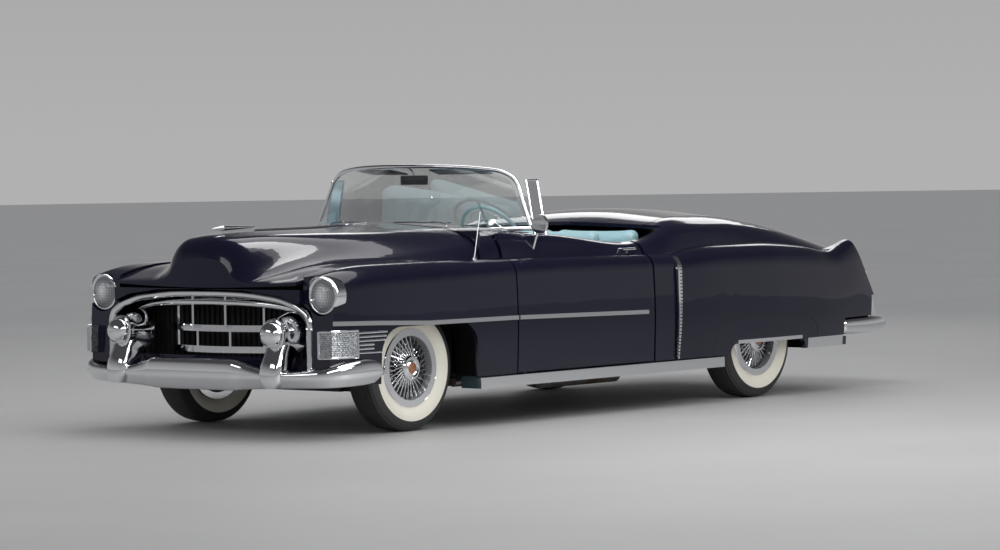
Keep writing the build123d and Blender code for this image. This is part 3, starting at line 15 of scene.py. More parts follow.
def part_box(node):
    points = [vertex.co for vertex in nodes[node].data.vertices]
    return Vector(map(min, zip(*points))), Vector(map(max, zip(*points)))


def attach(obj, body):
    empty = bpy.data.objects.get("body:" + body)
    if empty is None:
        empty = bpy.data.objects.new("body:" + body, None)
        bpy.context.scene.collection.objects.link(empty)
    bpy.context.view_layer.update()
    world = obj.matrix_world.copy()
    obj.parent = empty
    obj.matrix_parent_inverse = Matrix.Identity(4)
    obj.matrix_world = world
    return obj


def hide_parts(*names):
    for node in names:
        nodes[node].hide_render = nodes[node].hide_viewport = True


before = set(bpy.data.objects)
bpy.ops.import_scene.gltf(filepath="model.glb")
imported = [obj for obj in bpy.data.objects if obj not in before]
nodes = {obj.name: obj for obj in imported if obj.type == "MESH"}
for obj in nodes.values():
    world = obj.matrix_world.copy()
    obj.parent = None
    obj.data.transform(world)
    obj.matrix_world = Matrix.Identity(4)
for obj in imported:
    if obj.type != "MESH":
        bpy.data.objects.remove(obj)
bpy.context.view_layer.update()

# %% [markdown]
# Shader maths reads best as plain arithmetic. A Wire wraps one output socket and turns + - * /
# and comparisons into Math nodes. A Finish wraps one material and makes any other node from its
# type, its settings and its inputs.


# %% Materials as expressions
class Wire:
    """One shader value that can be added, scaled and compared."""

    def __init__(self, finish, socket):
        self.finish = finish
        self.socket = socket

    def math(self, operation, first, second=None):
        node = self.finish.tree.nodes.new("ShaderNodeMath")
        node.operation = operation
        self.finish.put(node.inputs[0], first)
        if second is not None:
            self.finish.put(node.inputs[1], second)
        return Wire(self.finish, node.outputs[0])

    def __add__(self, other):
        return self.math("ADD", self, other)

    __radd__ = __add__

    def __sub__(self, other):
        return self.math("SUBTRACT", self, other)

    def __rsub__(self, other):
        return self.math("SUBTRACT", other, self)

    def __mul__(self, other):
        return self.math("MULTIPLY", self, other)

    __rmul__ = __mul__

    def __truediv__(self, other):
        return self.math("DIVIDE", self, other)

    def __gt__(self, other):
        return self.math("GREATER_THAN", self, other)

    def __lt__(self, other):
        return self.math("LESS_THAN", self, other)

    def sine(self):
        return self.math("SINE", self)

    def root(self):
        return self.math("SQRT", self)

    def size(self):
        return self.math("ABSOLUTE", self)

    def step(self, low, high):
        """0 below low, 1 above high and smooth between."""
        node = self.finish.tree.nodes.new("ShaderNodeMapRange")
        node.interpolation_type = "SMOOTHSTEP"
        self.finish.put(node.inputs["Value"], self)
        node.inputs["From Min"].default_value = low
        node.inputs["From Max"].default_value = high
        return Wire(self.finish, node.outputs["Result"])


class Finish:
    """One material, its shader and its nodes."""

    def __init__(self, name):
        self.material = bpy.data.materials.new(name)
        self.material.use_nodes = True
        self.tree = self.material.node_tree
        self.shader = self.tree.nodes["Principled BSDF"]

    def put(self, socket, value):
        if isinstance(value, Wire):
            self.tree.links.new(value.socket, socket)
        else:
            socket.default_value = value

    def set(self, **values):
        for name, value in values.items():
            self.put(self.shader.inputs[name.replace("_", " ")], value)
        return self

    def node(self, kind, settings=None, inputs=None, output=0):
        made = self.tree.nodes.new("ShaderNode" + kind)
        for name, value in (settings or {}).items():
            setattr(made, name, value)
        for name, value in (inputs or {}).items():
            self.put(made.inputs[name], value)
        return Wire(self, made.outputs[output])

    def place(self, centre=(0, 0, 0)):
        """Object coordinates counted from a centre."""
        coords = self.node("TexCoord", output=3)
        return self.node("Mapping", inputs={"Vector": coords, "Location": tuple(-c for c in centre)})

    def axes(self, centre=(0, 0, 0)):
        split = self.tree.nodes.new("ShaderNodeSeparateXYZ")
        self.put(split.inputs[0], self.place(centre))
        return [Wire(self, out) for out in split.outputs]

    def noise(self, scale, detail=3.0, centre=(0, 0, 0)):
        return self.node("TexNoise", inputs={"Vector": self.place(centre), "Scale": scale, "Detail": detail})

    def mix(self, share, low, high):
        """Colour between two colours."""
        node = self.tree.nodes.new("ShaderNodeMix")
        node.data_type = "RGBA"
        self.put(node.inputs["Factor"], share)
        self.put(node.inputs[6], low)
        self.put(node.inputs[7], high)
        return Wire(self, node.outputs[2])

    def bump(self, height, distance, strength=1.0):
        made = self.node("Bump", inputs={"Height": height, "Distance": distance, "Strength": strength})
        self.put(self.shader.inputs["Normal"], made)
        return self


def rgb(red, green, blue):
    return (red, green, blue, 1.0)


def dress(material, *names):
    """Gives CAD nodes a finish, leaving their shape alone."""
    for name in names:
        slots = nodes[name].data.materials
        slots.clear()
        slots.append(material)
    print(material.name, "on", len(names), "nodes")


# %% [markdown]
# The body is a very dark navy that reads as black until light grazes it. Real enamel of the time
# has a clear wet coat over a colour that is never quite even, so the colour drifts a little with
# a broad noise, and a fine noise stirs the normal like the faint orange peel of sprayed paint.

# %% Body paint
navy = Finish("navy_enamel")
drift = navy.noise(2.5)
navy.set(Base_Color=navy.mix(drift, rgb(0.0045, 0.0045, 0.014), rgb(0.007, 0.007, 0.022)),
         Roughness=0.16 + 0.05 * navy.noise(40.0), Coat_Weight=1.0, Coat_Roughness=0.02, Coat_IOR=1.36,
         Specular_IOR_Level=0.12)
navy.bump(navy.noise(900.0, 1.0), 0.0001, 0.25)
dress(navy.material, "cowl", "rear_deck", "hood", "trunk_lid", "top_cover", "door_left", "door_right",
      "front_panel")

# %% [markdown]
# The wheel wells inside the fenders lie in shadow, and their colour is painted shade: the same
# enamel goes flat, uncoated and nearly black within a well's radius of the axle.

# %% Fender paint and wheel wells
AXLES = {"front_fender": -1.874, "rear_quarter": 1.326}
WELL_REACH, WELL_OUTER_X = 0.450, 0.952
for panel, axle_y in AXLES.items():
    enamel = Finish(panel + "_enamel")
    across, along, up = enamel.axes()
    from_axle = ((along - axle_y) * (along - axle_y) + (up - 0.355) * (up - 0.355)).root()
    painted_well_shade = (from_axle < WELL_REACH) * (across.size() < WELL_OUTER_X)
    drift = enamel.noise(2.5)
    paint = enamel.mix(drift, rgb(0.0045, 0.0045, 0.014), rgb(0.007, 0.007, 0.022))
    # Within the well the colour is painted shade, nearly black.
    enamel.set(Base_Color=enamel.mix(painted_well_shade, paint, rgb(0.002, 0.002, 0.002)),
               Roughness=0.16 + 0.7 * painted_well_shade + 0.05 * enamel.noise(40.0),
               Coat_Weight=1 - painted_well_shade, Coat_Roughness=0.02, Coat_IOR=1.36, Specular_IOR_Level=0.12)
    enamel.bump(enamel.noise(900.0, 1.0), 0.0001, 0.25)
    dress(enamel.material, panel + "_left", panel + "_right")

# %% [markdown]
# Chrome of this age is bright and a touch cool. It is fully metallic, so all its look comes from
# what it reflects; a faint change in roughness keeps large pieces from looking computer-made.

# %% Chrome
chrome = Finish("chrome_plate")
chrome.set(Base_Color=rgb(0.82, 0.83, 0.85), Metallic=1.0, Roughness=0.05 + 0.05 * chrome.noise(18.0))
dress(chrome.material, "front_bumper", "rear_bumper", "grille", "hood_ornament", "side_trim_left",
      "side_trim_right",
      "door_trim_left", "door_trim_right", "windshield_frame")

# %% [markdown]
# Underneath, the frame and axles are satin black with a film of dust, the engine is a dark
# enamel, and the exhaust is dull steel with brown heat stains.

# %% Under the body
satin = Finish("satin_black")
dust = satin.noise(9.0, 6.0).step(0.45, 0.75)
satin.set(Base_Color=satin.mix(dust, rgb(0.02, 0.02, 0.022), rgb(0.09, 0.08, 0.07)),
          Roughness=0.5 + 0.25 * dust)
satin.bump(satin.noise(220.0), 0.0006, 0.3)
dress(satin.material, "chassis_frame", "rear_axle", "front_suspension", "knuckle_left", "knuckle_right",
      "radiator")
iron = Finish("engine_enamel")
iron.set(Base_Color=iron.mix(iron.noise(12.0), rgb(0.02, 0.03, 0.05), rgb(0.05, 0.06, 0.08)), Roughness=0.45)
iron.bump(iron.noise(160.0), 0.001, 0.4)
dress(iron.material, "engine_block")
steel = Finish("dull_steel")
stain = steel.noise(6.0, 5.0).step(0.4, 0.7)
steel.set(Base_Color=steel.mix(stain, rgb(0.34, 0.33, 0.32), rgb(0.20, 0.13, 0.08)), Metallic=0.9,
          Roughness=0.4 + 0.2 * stain)
dress(steel.material, "exhaust")

# %% [markdown]
# Window glass is nearly clear with a green edge. The lamp glass is fluted, and the tail lamp is
# deep red with a small clear lens at its foot.

# %% Glass
pane = Finish("window_glass")
pane.set(Base_Color=rgb(0.92, 0.97, 0.95), Roughness=0.01, Transmission_Weight=1.0, IOR=1.45,
         Alpha=0.35 + 0.02 * pane.noise(3.0))
dress(pane.material, "windshield_glass")

ribbed = Finish("ribbed_lamp_glass")
across, along, up = ribbed.axes()
flutes = (up * (2 * pi / 0.011)).sine()
pearls = ribbed.node("TexVoronoi", inputs={"Vector": ribbed.place(), "Scale": 70.0})
# The glass's colour is painted glints: lighter and darker along its ribs and in small cells, where light would
# catch the pressed glass.
ribbed.set(Base_Color=ribbed.mix(pearls + 0.3 * flutes, rgb(0.16, 0.17, 0.18), rgb(0.62, 0.64, 0.65)),
           Metallic=0.55,
           Roughness=0.10, Coat_Weight=1.0)
ribbed.bump(flutes + pearls, 0.004, 0.8)
dress(ribbed.material, "parking_lamps")

ruby = Finish("tail_lamp_glass")
across, along, up = ruby.axes()
clear_foot = up < 0.744
ruby.set(Base_Color=ruby.mix(clear_foot, rgb(0.42, 0.004, 0.006), rgb(0.8, 0.8, 0.78)), Roughness=0.08,
         Coat_Weight=1.0)
ruby.bump((up * (2 * pi / 0.009)).sine(), 0.001, 0.4)
dress(ruby.material, "tail_lamps")

# %% [markdown]
# Each tyre has a wide cream wall. The CAD tyre already has the right section, so the wall is
# painted by distance from the axle, with a thin raised rib at each edge, and the tread is cut by
# a bump of ribs and slanted sipes.

# %% Tyres
WHEELS = ["front_left", "front_right", "rear_left", "rear_right"]
WALL_IN, WALL_OUT, SHOULDER_RADIUS = 0.222, 0.297, 0.335


def wheel_centre(wheel):
    low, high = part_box("tyre_" + wheel)
    return (Vector(low) + Vector(high)) / 2


for wheel in WHEELS:
    centre = wheel_centre(wheel)
    tyre = Finish("tyre_" + wheel)
    across, along, up = tyre.axes(centre)
    radius = (along * along + up * up).root()
    wall = (radius.step(WALL_IN - 0.001, WALL_IN) * (1 - radius.step(WALL_OUT, WALL_OUT + 0.001))
            * (across.size() > 0.07))
    rubber = tyre.mix(tyre.noise(30.0), rgb(0.018, 0.018, 0.019), rgb(0.034, 0.033, 0.032))
    cream = tyre.mix(tyre.noise(7.0, 4.0), rgb(0.78, 0.73, 0.61), rgb(0.86, 0.83, 0.74))
    tread = radius.step(0.344, 0.3475)
    ribs = (across * (2 * pi / 0.021)).sine().step(-0.5, 0.1)
    angle = tyre.node("Math", {"operation": "ARCTAN2"}, {0: up, 1: along})
    sipes = (angle * 110.0 + (across * 200.0).sine() * 1.4).sine().step(-0.9, -0.6)
    wall_edge, shoulder = (radius - WALL_OUT).size(), (radius - SHOULDER_RADIUS).size()
    edge = (1 - wall_edge.step(0.0, 0.004)) + (1 - shoulder.step(0.0, 0.005))
    tyre.set(Base_Color=tyre.mix(wall, rubber, cream), Roughness=0.55 + 0.2 * tyre.noise(60.0))
    tyre.bump(tread * (ribs * 0.6 + ribs * sipes * 0.4) + (1 - tread) * edge * 0.3, 0.006)
    dress(tyre.material, "tyre_" + wheel)

# %% [markdown]
# The rims are chrome outside and dark inside, where the wires cast their shade over the web, so
# the CAD rim's own finish goes dark within the barrel.

# %% Rims
for wheel in WHEELS:
    centre = wheel_centre(wheel)
    rim = Finish("rim_" + wheel)
    across, along, up = rim.axes(centre)
    radius = (along * along + up * up).root()
    inside = 1 - radius.step(0.178, 0.182)
    rim.set(Base_Color=rim.mix(inside, rgb(0.82, 0.83, 0.85), rgb(0.012, 0.012, 0.014)), Metallic=1 - inside,
            Roughness=0.07 + 0.4 * inside)
    dress(rim.material, "rim_" + wheel)

# %% [markdown]
# The camera stands where the photographer stood: far off and low, with a long lens, looking at
# the left front corner. Its place and turn were found from points whose size is known, such as
# the wheelbase and the tyres, so the rendered outline falls on the photographed one.

# %% Camera
EYE = Vector((14.998, -17.931, 1.608))
AZIMUTH, ELEVATION, ROLL = radians(40.054), radians(1.981), radians(-0.892)
back = Vector((sin(AZIMUTH) * cos(ELEVATION), -cos(AZIMUTH) * cos(ELEVATION), sin(ELEVATION)))
right = (-back).cross(Vector((0, 0, 1))).normalized()
upward = right.cross(-back)
turned_right = cos(ROLL) * right + sin(ROLL) * upward
turned_up = cos(ROLL) * upward - sin(ROLL) * right
lens = bpy.data.cameras.new("portrait_lens")
lens.sensor_width = 36.0
lens.lens = 138.0
lens.clip_end = 200.0
camera = bpy.data.objects.new("camera", lens)
bpy.context.scene.collection.objects.link(camera)
camera.matrix_world = Matrix((turned_right, turned_up, back)).transposed().to_4x4()
camera.location = EYE
bpy.context.scene.camera = camera
print("camera stands", round(EYE.length, 2), "m from the car's centre")

# %% [markdown]
# Dark enamel and chrome show nothing but their surroundings. So the room is a pale floor, a
# pale horizon that darkens overhead, and three broad lamps whose edges draw the long highlights
# along the hood, the belt line and the fender.

# %% Room and lamps
bpy.context.scene.view_settings.view_transform = "Standard"
world = bpy.data.worlds.new("studio")
bpy.context.scene.world = world
world.use_nodes = True
tree = world.node_tree
tree.nodes.clear()


def room_node(kind, **inputs):
    made = tree.nodes.new("ShaderNode" + kind)
    for name, value in inputs.items():
        socket = made.inputs[name.replace("_", " ")]
        if isinstance(value, bpy.types.NodeSocket):
            tree.links.new(value, socket)
        else:
            socket.default_value = value
    return made


direction = room_node("SeparateXYZ", Vector=room_node("TexCoord").outputs["Generated"])
height = room_node("MapRange", Value=direction.outputs["Z"], From_Min=0.0, From_Max=0.45)
ramp = tree.nodes.new("ShaderNodeValToRGB")
tree.links.new(height.outputs["Result"], ramp.inputs["Fac"])
ramp.color_ramp.elements[0].color = rgb(0.44, 0.44, 0.44)
ramp.color_ramp.elements[1].color = rgb(0.06, 0.06, 0.065)
seen = room_node("Background", Color=ramp.outputs["Color"], Strength=1.0)
unseen = room_node("Background", Color=rgb(0.95, 0.97, 1.0), Strength=0.80)
rays = room_node("LightPath")
either = tree.nodes.new("ShaderNodeMath")
either.operation = "MAXIMUM"
tree.links.new(rays.outputs["Is Camera Ray"], either.inputs[0])
tree.links.new(rays.outputs["Is Glossy Ray"], either.inputs[1])
any_ray = tree.nodes.new("ShaderNodeMath")
any_ray.operation = "MAXIMUM"
tree.links.new(either.outputs[0], any_ray.inputs[0])
tree.links.new(rays.outputs["Is Transmission Ray"], any_ray.inputs[1])
chosen = tree.nodes.new("ShaderNodeMixShader")
tree.links.new(any_ray.outputs[0], chosen.inputs[0])
tree.links.new(unseen.outputs[0], chosen.inputs[1])
tree.links.new(seen.outputs[0], chosen.inputs[2])
out = tree.nodes.new("ShaderNodeOutputWorld")
tree.links.new(chosen.outputs[0], out.inputs["Surface"])


def lamp(name, place, aim, size, power, shine_only=False):
    """A broad lamp that looks at a point."""
    light = bpy.data.lights.new(name, "AREA")
    light.shape = "RECTANGLE"
    light.size, light.size_y = size
    light.energy = power
    holder = bpy.data.objects.new(name, light)
    bpy.context.scene.collection.objects.link(holder)
    holder.location = place
    holder.rotation_mode = "QUATERNION"
    holder.rotation_quaternion = (Vector(aim) - Vector(place)).to_track_quat("-Z", "Y")
    holder.visible_diffuse = not shine_only


lamp("overhead_bank", (1.2, -0.6, 4.6), (0.2, -0.4, 0), (2.6, 8.5), 150.0)
lamp("highlight_strip", (3.6, -1.0, 5.0), (0.4, -0.6, 0.6), (1.5, 9.0), 420.0, shine_only=True)
lamp("left_bank", (8.0, -2.0, 5.0), (0.5, -0.5, 0.6), (9.0, 1.4), 80.0)
lamp("belt_strip", (7.0, -3.0, 3.4), (0.8, -0.6, 0.8), (9.0, 0.5), 160.0, shine_only=True)
lamp("front_bank", (-1.0, -10.0, 4.5), (0, -2.0, 0.6), (6.0, 1.6), 80.0)
lamp("rear_fill", (-5.0, 8.0, 5.0), (0, 1.0, 0.6), (6.0, 2.0), 80.0)

bpy.ops.object.select_all(action="DESELECT")
bpy.ops.mesh.primitive_circle_add(vertices=96, radius=90.0, fill_type="NGON")
floor = bpy.context.object
floor.name = "studio_floor"
pale = Finish("pale_floor")
pale.set(Base_Color=pale.mix(pale.noise(0.8, 5.0), rgb(0.36, 0.355, 0.35), rgb(0.42, 0.415, 0.41)),
         Roughness=0.6)
floor.data.materials.append(pale.material)

# %% [markdown]
# Most new pieces start in one of four ways, each wrapped in a small helper. A turned piece is a
# profile swept round an axis by a Screw modifier. A wire is a curve with a round bevel. A block
# is a cube that is bevelled. A skin is a grid whose rows are pulled to a shape. Every piece ends
# with its place in its mesh, clean normals and smooth shading, and rides on its body.

# %% Making pieces


def only(obj):
    """Makes obj the one selected and active object."""
    bpy.ops.object.select_all(action="DESELECT")
    obj.select_set(True)
    bpy.context.view_layer.objects.active = obj
    return obj


def apply_all(obj):
    """Applies every modifier in order."""
    only(obj)
    for modifier in list(obj.modifiers):
        bpy.ops.object.modifier_apply(modifier=modifier.name)
    return obj


def clean(obj):
    """Merges doubles and turns the faces outwards."""
    only(obj)
    bpy.ops.object.mode_set(mode="EDIT")
    bpy.ops.mesh.select_all(action="SELECT")
    bpy.ops.mesh.remove_doubles(threshold=0.00002)
    bpy.ops.mesh.normals_make_consistent(inside=False)
    bpy.ops.object.mode_set(mode="OBJECT")
    return obj


def settle(obj, name, finish, body, angle=35):
    """Names a finished piece, dresses it and lets it ride on its body."""
    only(obj)
    bpy.ops.object.transform_apply(location=True, rotation=True, scale=True)
    bpy.ops.object.shade_smooth_by_angle(angle=radians(angle))
    obj.name = name
    obj.data.name = name
    obj.data.materials.clear()
    obj.data.materials.append(finish.material)
    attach(obj, body)
    return obj


def turned(profile, centre, axis, steps=48):
    """Sweeps a profile of (radius, distance along the axis) round the axis."""
    mesh = bpy.data.meshes.new("profile")
    mesh.from_pydata([(radius, 0, along) for radius, along in profile],
                     [(i, i + 1) for i in range(len(profile) - 1)], [])
    obj = bpy.data.objects.new("turned", mesh)
    bpy.context.scene.collection.objects.link(obj)
    screw = obj.modifiers.new("sweep", "SCREW")
    screw.steps = screw.render_steps = steps
    screw.use_merge_vertices = True
    apply_all(obj)
    obj.matrix_world = Matrix.Translation(centre) @ Vector(axis).to_track_quat("Z", "Y").to_matrix().to_4x4()
    return clean(obj)


def wire(points, radius, sides=3, closed=False, smooth=True):
    """A round wire through points."""
    curve = bpy.data.curves.new("wire", "CURVE")
    curve.dimensions = "3D"
    curve.bevel_depth = radius
    curve.bevel_resolution = sides
    curve.use_fill_caps = True
    spline = curve.splines.new("NURBS" if smooth else "POLY")
    spline.points.add(len(points) - 1)
    for point, place in zip(spline.points, points):
        point.co = (*place, 1.0)
    spline.use_cyclic_u = closed
    if smooth:
        spline.order_u = 3
        spline.use_endpoint_u = not closed
        spline.resolution_u = 8
    obj = bpy.data.objects.new("wire", curve)
    bpy.context.scene.collection.objects.link(obj)
    only(obj)
    bpy.ops.object.convert(target="MESH")
    return clean(bpy.context.object)


def block(low, high, round_edge=0.004, segments=3):
    """A cube between two corners, with rounded edges."""
    bpy.ops.object.select_all(action="DESELECT")
    bpy.ops.mesh.primitive_cube_add(size=1.0, location=(Vector(low) + Vector(high)) / 2)
    obj = bpy.context.object
    obj.scale = Vector(high) - Vector(low)
    bpy.ops.object.transform_apply(location=True, rotation=True, scale=True)
    bevel = obj.modifiers.new("round", "BEVEL")
    bevel.width = round_edge
    bevel.segments = segments
    return apply_all(obj)


def skin(rows, thickness=0.0, levels=1):
    """A grid pulled to rows of points, given a wall and smoothed."""
    count, length = len(rows), len(rows[0])
    bpy.ops.object.select_all(action="DESELECT")
    bpy.ops.mesh.primitive_grid_add(x_subdivisions=length - 1, y_subdivisions=count - 1)
    obj = bpy.context.object
    for index, vertex in enumerate(obj.data.vertices):
        vertex.co = rows[index // length][index % length]
    if thickness:
        wall = obj.modifiers.new("wall", "SOLIDIFY")
        wall.thickness = thickness
        wall.offset = 0.0
    if levels:
        smooth = obj.modifiers.new("smooth", "SUBSURF")
        smooth.levels = smooth.render_levels = levels
    return apply_all(clean(obj))


def joined(pieces):
    """Several meshes as one piece."""
    bpy.ops.object.select_all(action="DESELECT")
    for piece in pieces:
        piece.select_set(True)
    bpy.context.view_layer.objects.active = pieces[0]
    if len(pieces) > 1:
        bpy.ops.object.join()
    return bpy.context.object


def copy_of(obj, matrix):
    """A copy with its own mesh, moved by a matrix."""
    twin = obj.copy()
    twin.data = obj.data.copy()
    bpy.context.scene.collection.objects.link(twin)
    twin.data.transform(matrix @ obj.matrix_world)
    twin.matrix_world = Matrix.Identity(4)
    if matrix.determinant() < 0:
        clean(twin)
    return twin


print("helpers ready")

# %% [markdown]
# A wire wheel is a steel barrel held to its hub by two fans of thin spokes that lean opposite
# ways. The barrel and hub are CAD pieces. One spoke is a thin six-sided cylinder, fatter at its
# head, and the rest are copies of it turned about the axle. A plain copper-toned disc sits in
# the hub's chrome cup.

# %% Wire wheels
copper = Finish("copper_disc")
copper.set(Base_Color=copper.mix(copper.noise(25.0), rgb(0.42, 0.17, 0.09), rgb(0.60, 0.30, 0.18)),
           Metallic=1.0,
           Roughness=0.25 + 0.2 * copper.noise(60.0))
SPOKES = 30
HUB_RADIUS, BARREL_RADIUS = 0.064, 0.188
HUB_CUP = [(0.0, 0.0985), (0.034, 0.0975), (0.040, 0.0925), (0.050, 0.0915), (0.055, 0.0985), (0.063, 0.0975),
           (0.070, 0.0900), (0.0715, 0.0600)]
DISC = [(0.0, 0.1015), (0.026, 0.1008), (0.032, 0.0990), (0.0325, 0.0950)]
RIM_BEAD = [(0.214, 0.080), (0.219, 0.086), (0.224, 0.080), (0.219, 0.076), (0.214, 0.080)]


def spoke_between(start, end):
    """A thin spoke with a fatter head at its start."""
    start, end = Vector(start), Vector(end)
    bpy.ops.object.select_all(action="DESELECT")
    bpy.ops.mesh.primitive_cylinder_add(vertices=6, radius=0.0026, depth=(end - start).length)
    obj = bpy.context.object
    bpy.ops.object.mode_set(mode="EDIT")
    bpy.ops.mesh.select_all(action="DESELECT")
    bpy.ops.object.mode_set(mode="OBJECT")
    for polygon in obj.data.polygons:
        polygon.select = polygon.normal.z < -0.9
    bpy.ops.object.mode_set(mode="EDIT")
    bpy.ops.transform.resize(value=(1.7, 1.7, 1.0))
    bpy.ops.mesh.extrude_region_move(TRANSFORM_OT_translate={"value": (0, 0, -0.004)})
    bpy.ops.object.mode_set(mode="OBJECT")
    lean = (end - start).to_track_quat("Z", "Y").to_matrix().to_4x4()
    obj.matrix_world = Matrix.Translation((start + end) / 2) @ lean
    return obj


for wheel in WHEELS:
    centre = wheel_centre(wheel)
    side = 1 if wheel.endswith("left") else -1
    body = wheel + "_wheel"
    spokes = []
    for fan, (hub_out, rim_out, lean) in enumerate(((0.082, 0.052, 0.36), (0.050, 0.034, -0.36))):
        first = spoke_between((side * hub_out, HUB_RADIUS, 0),
                              (side * rim_out, BARREL_RADIUS * cos(lean), BARREL_RADIUS * sin(lean)))
        for number in range(SPOKES):
            turn = Matrix.Rotation(2 * pi * (number + fan / 2) / SPOKES, 4, "X")
            spokes.append(copy_of(first, Matrix.Translation(centre) @ turn))
        bpy.data.objects.remove(first)
    settle(joined(spokes), "spokes_" + wheel, chrome, body)
    outward = (side, 0, 0)
    settle(turned(HUB_CUP, centre, outward), "hub_cup_" + wheel, chrome, body)
    settle(turned(DISC, centre, outward), "hub_disc_" + wheel, copper, body)
    settle(turned(RIM_BEAD, centre, outward, 72), "rim_bead_" + wheel, chrome, body)
    print(wheel, "has", len(spokes), "spokes")

# %% [markdown]
# The front bumper is one deep steel pressing with a crease along its face. It is modelled as a
# skin: a row of section points at each place along the bar, from the flat middle that faces a
# plate, out and round the corner to the tip by the wheel. The Solidify modifier gives it the
# gauge of the steel and Subdivision Surface rounds it between the rows.

# %% Front bumper
# Place along the bar: x, y, the way it faces in plan, top, crease and lower edge.
BUMPER_ROWS = [
    (0.000, -2.788, (0.00, -1.00), 0.438, 0.334, 0.264),
    (0.180, -2.787, (0.00, -1.00), 0.438, 0.334, 0.264),
    (0.305, -2.784, (0.00, -1.00), 0.437, 0.334, 0.265),
    (0.332, -2.781, (0.10, -0.99), 0.432, 0.334, 0.267),
    (0.356, -2.770, (0.10, -0.99), 0.424, 0.335, 0.270),
    (0.450, -2.769, (0.05, -1.00), 0.398, 0.337, 0.276),
    (0.560, -2.762, (0.08, -1.00), 0.378, 0.337, 0.281),
    (0.700, -2.750, (0.14, -0.99), 0.378, 0.336, 0.285),
    (0.830, -2.726, (0.26, -0.97), 0.386, 0.336, 0.287),
    (0.915, -2.690, (0.50, -0.87), 0.396, 0.336, 0.288),
    (0.966, -2.630, (0.82, -0.57), 0.410, 0.336, 0.289),
    (0.991, -2.545, (0.97, -0.24), 0.426, 0.338, 0.290),
    (1.002, -2.440, (1.00, -0.06), 0.438, 0.342, 0.292),
    (1.006, -2.350, (1.00, 0.00), 0.440, 0.346, 0.297),
    (1.004, -2.295, (0.97, 0.24), 0.420, 0.350, 0.310),
    (0.990, -2.272, (0.70, 0.71), 0.380, 0.350, 0.335),
]


def bumper_section(x, y, facing, top, crease, low):
    """Points of the bar's section, from its top inner edge over the face to its lower inner edge."""
    outward = Vector((*facing, 0)).normalized()
    face = top - crease
    share = [(0.062, top - 0.010), (0.030, top), (0.009, top - 0.012), (0.002, top - 0.3 * face),
             (-0.003, crease + 0.3 * face), (0.000, crease + 0.004), (0.001, crease - 0.004),
             (0.028, low + 0.010), (0.036, low), (0.060, low + 0.004)]
    return [Vector((x, y, z)) - outward * inward for inward, z in [(a, b) for a, b in share]]


left_rows = [bumper_section(*row) for row in BUMPER_ROWS]
right_rows = [[Vector((-p.x, p.y, p.z)) for p in row] for row in reversed(left_rows[1:])]
bar = skin(right_rows + left_rows, thickness=0.006, levels=2)
settle(bar, "front_bumper_bar", chrome, "body")
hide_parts("front_bumper")

GUARD_X, DOME_Z = 0.594, 0.577
DOME = [(0.0, -0.030), (0.112, -0.028), (0.119, -0.010), (0.116, 0.015), (0.103, 0.050), (0.091, 0.090),
        (0.085, 0.120), (0.088, 0.132), (0.086, 0.143), (0.078, 0.146), (0.074, 0.141), (0.072, 0.156),
        (0.062, 0.182), (0.044, 0.200),
        (0.022, 0.209), (0.0, 0.211)]
# Height, half width, front and back of the upright's section.
GUARD_ROWS = [(0.286, 0.045, -2.782, -2.72), (0.312, 0.070, -2.794, -2.68), (0.360, 0.080, -2.797, -2.65),
              (0.410, 0.079, -2.790, -2.62), (0.450, 0.072, -2.768, -2.59), (0.490, 0.072, -2.748, -2.57),
              (0.540, 0.078, -2.720, -2.56), (0.600, 0.070, -2.690, -2.56), (0.640, 0.045, -2.670, -2.58)]


def ring(z, half_width, front, rear, x, points=20):
    """A squarish oval about x at one height."""
    found = []
    for i in range(points + 1):
        turn = 2 * pi * (i % points) / points
        c, s = cos(turn), sin(turn)
        found.append(Vector((x + half_width * abs(c) ** 0.6 * (1 if c > 0 else -1),
                             (front + rear) / 2 + (rear - front) / 2 * abs(s) ** 0.6 * (1 if s > 0 else -1),
                             z)))
    return found


for side, word in ((1, "left"), (-1, "right")):
    x = side * GUARD_X
    upright = skin([ring(*row, x) for row in GUARD_ROWS], levels=1)
    dome = turned(DOME, (x, -2.590, DOME_Z), (0, -1, 0), 56)
    settle(joined([upright, dome]), "bumper_guard_" + word, chrome, "body")

# %% [markdown]
# A heavy bright bar follows the arch of the grille just inside its surround.

# %% Grille arch bar
# Points of the bar's left half from its foot up to the middle: x and z.
ARCH_POINTS = [(0.712, 0.560), (0.708, 0.620), (0.688, 0.664), (0.628, 0.696), (0.520, 0.722), (0.380, 0.735),
               (0.200, 0.742)]
half_arch = [Vector((x, -2.612 + 0.09 * (x / 0.7) ** 2, z)) for x, z in ARCH_POINTS]
arch = wire(half_arch + [Vector((0, -2.612, 0.744))] + [Vector((-p.x, p.y, p.z))
                                                        for p in reversed(half_arch)], 0.019, 4)
settle(arch, "grille_arch_bar", chrome, "body")

# %% [markdown]
# Behind the grille bars the photograph is nearly black. A dark baffle with upright fins stands
# there, partly as the radiator's core and its shroud would and partly as painted shade: its colour
# is near black, finely striped across as painted light and shade between the fins.

# %% Grille backing
shade = Finish("radiator_and_shade_black")
across, along, up = shade.axes()
# Painted shade: near black, with fine stripes across that stand for light and shade between fins.
shade.set(Base_Color=shade.mix((across * (2 * pi / 0.004)).sine().step(0.2, 0.8), rgb(0.004, 0.004, 0.005),
                               rgb(0.015, 0.015, 0.017)),
          Roughness=0.7)
shade_baffle = block((-0.68, -2.447, 0.375), (0.68, -2.437, 0.80), 0.002)
fins = []
for number in range(-16, 17):
    fins.append(block((number * 0.040 - 0.002, -2.462, 0.385), (number * 0.040 + 0.002, -2.446, 0.79), 0.0005,
                      1))
settle(joined([shade_baffle] + fins), "grille_shade_baffle", shade, "body")
print("front end dressed")

# %% [markdown]
# Small bright parts have to lie on the panels that carry them. A ray is sent at the panel's own
# mesh and the piece takes its place from where the ray lands.

# %% Landing pieces on panels
from mathutils.bvhtree import BVHTree

trees = {}


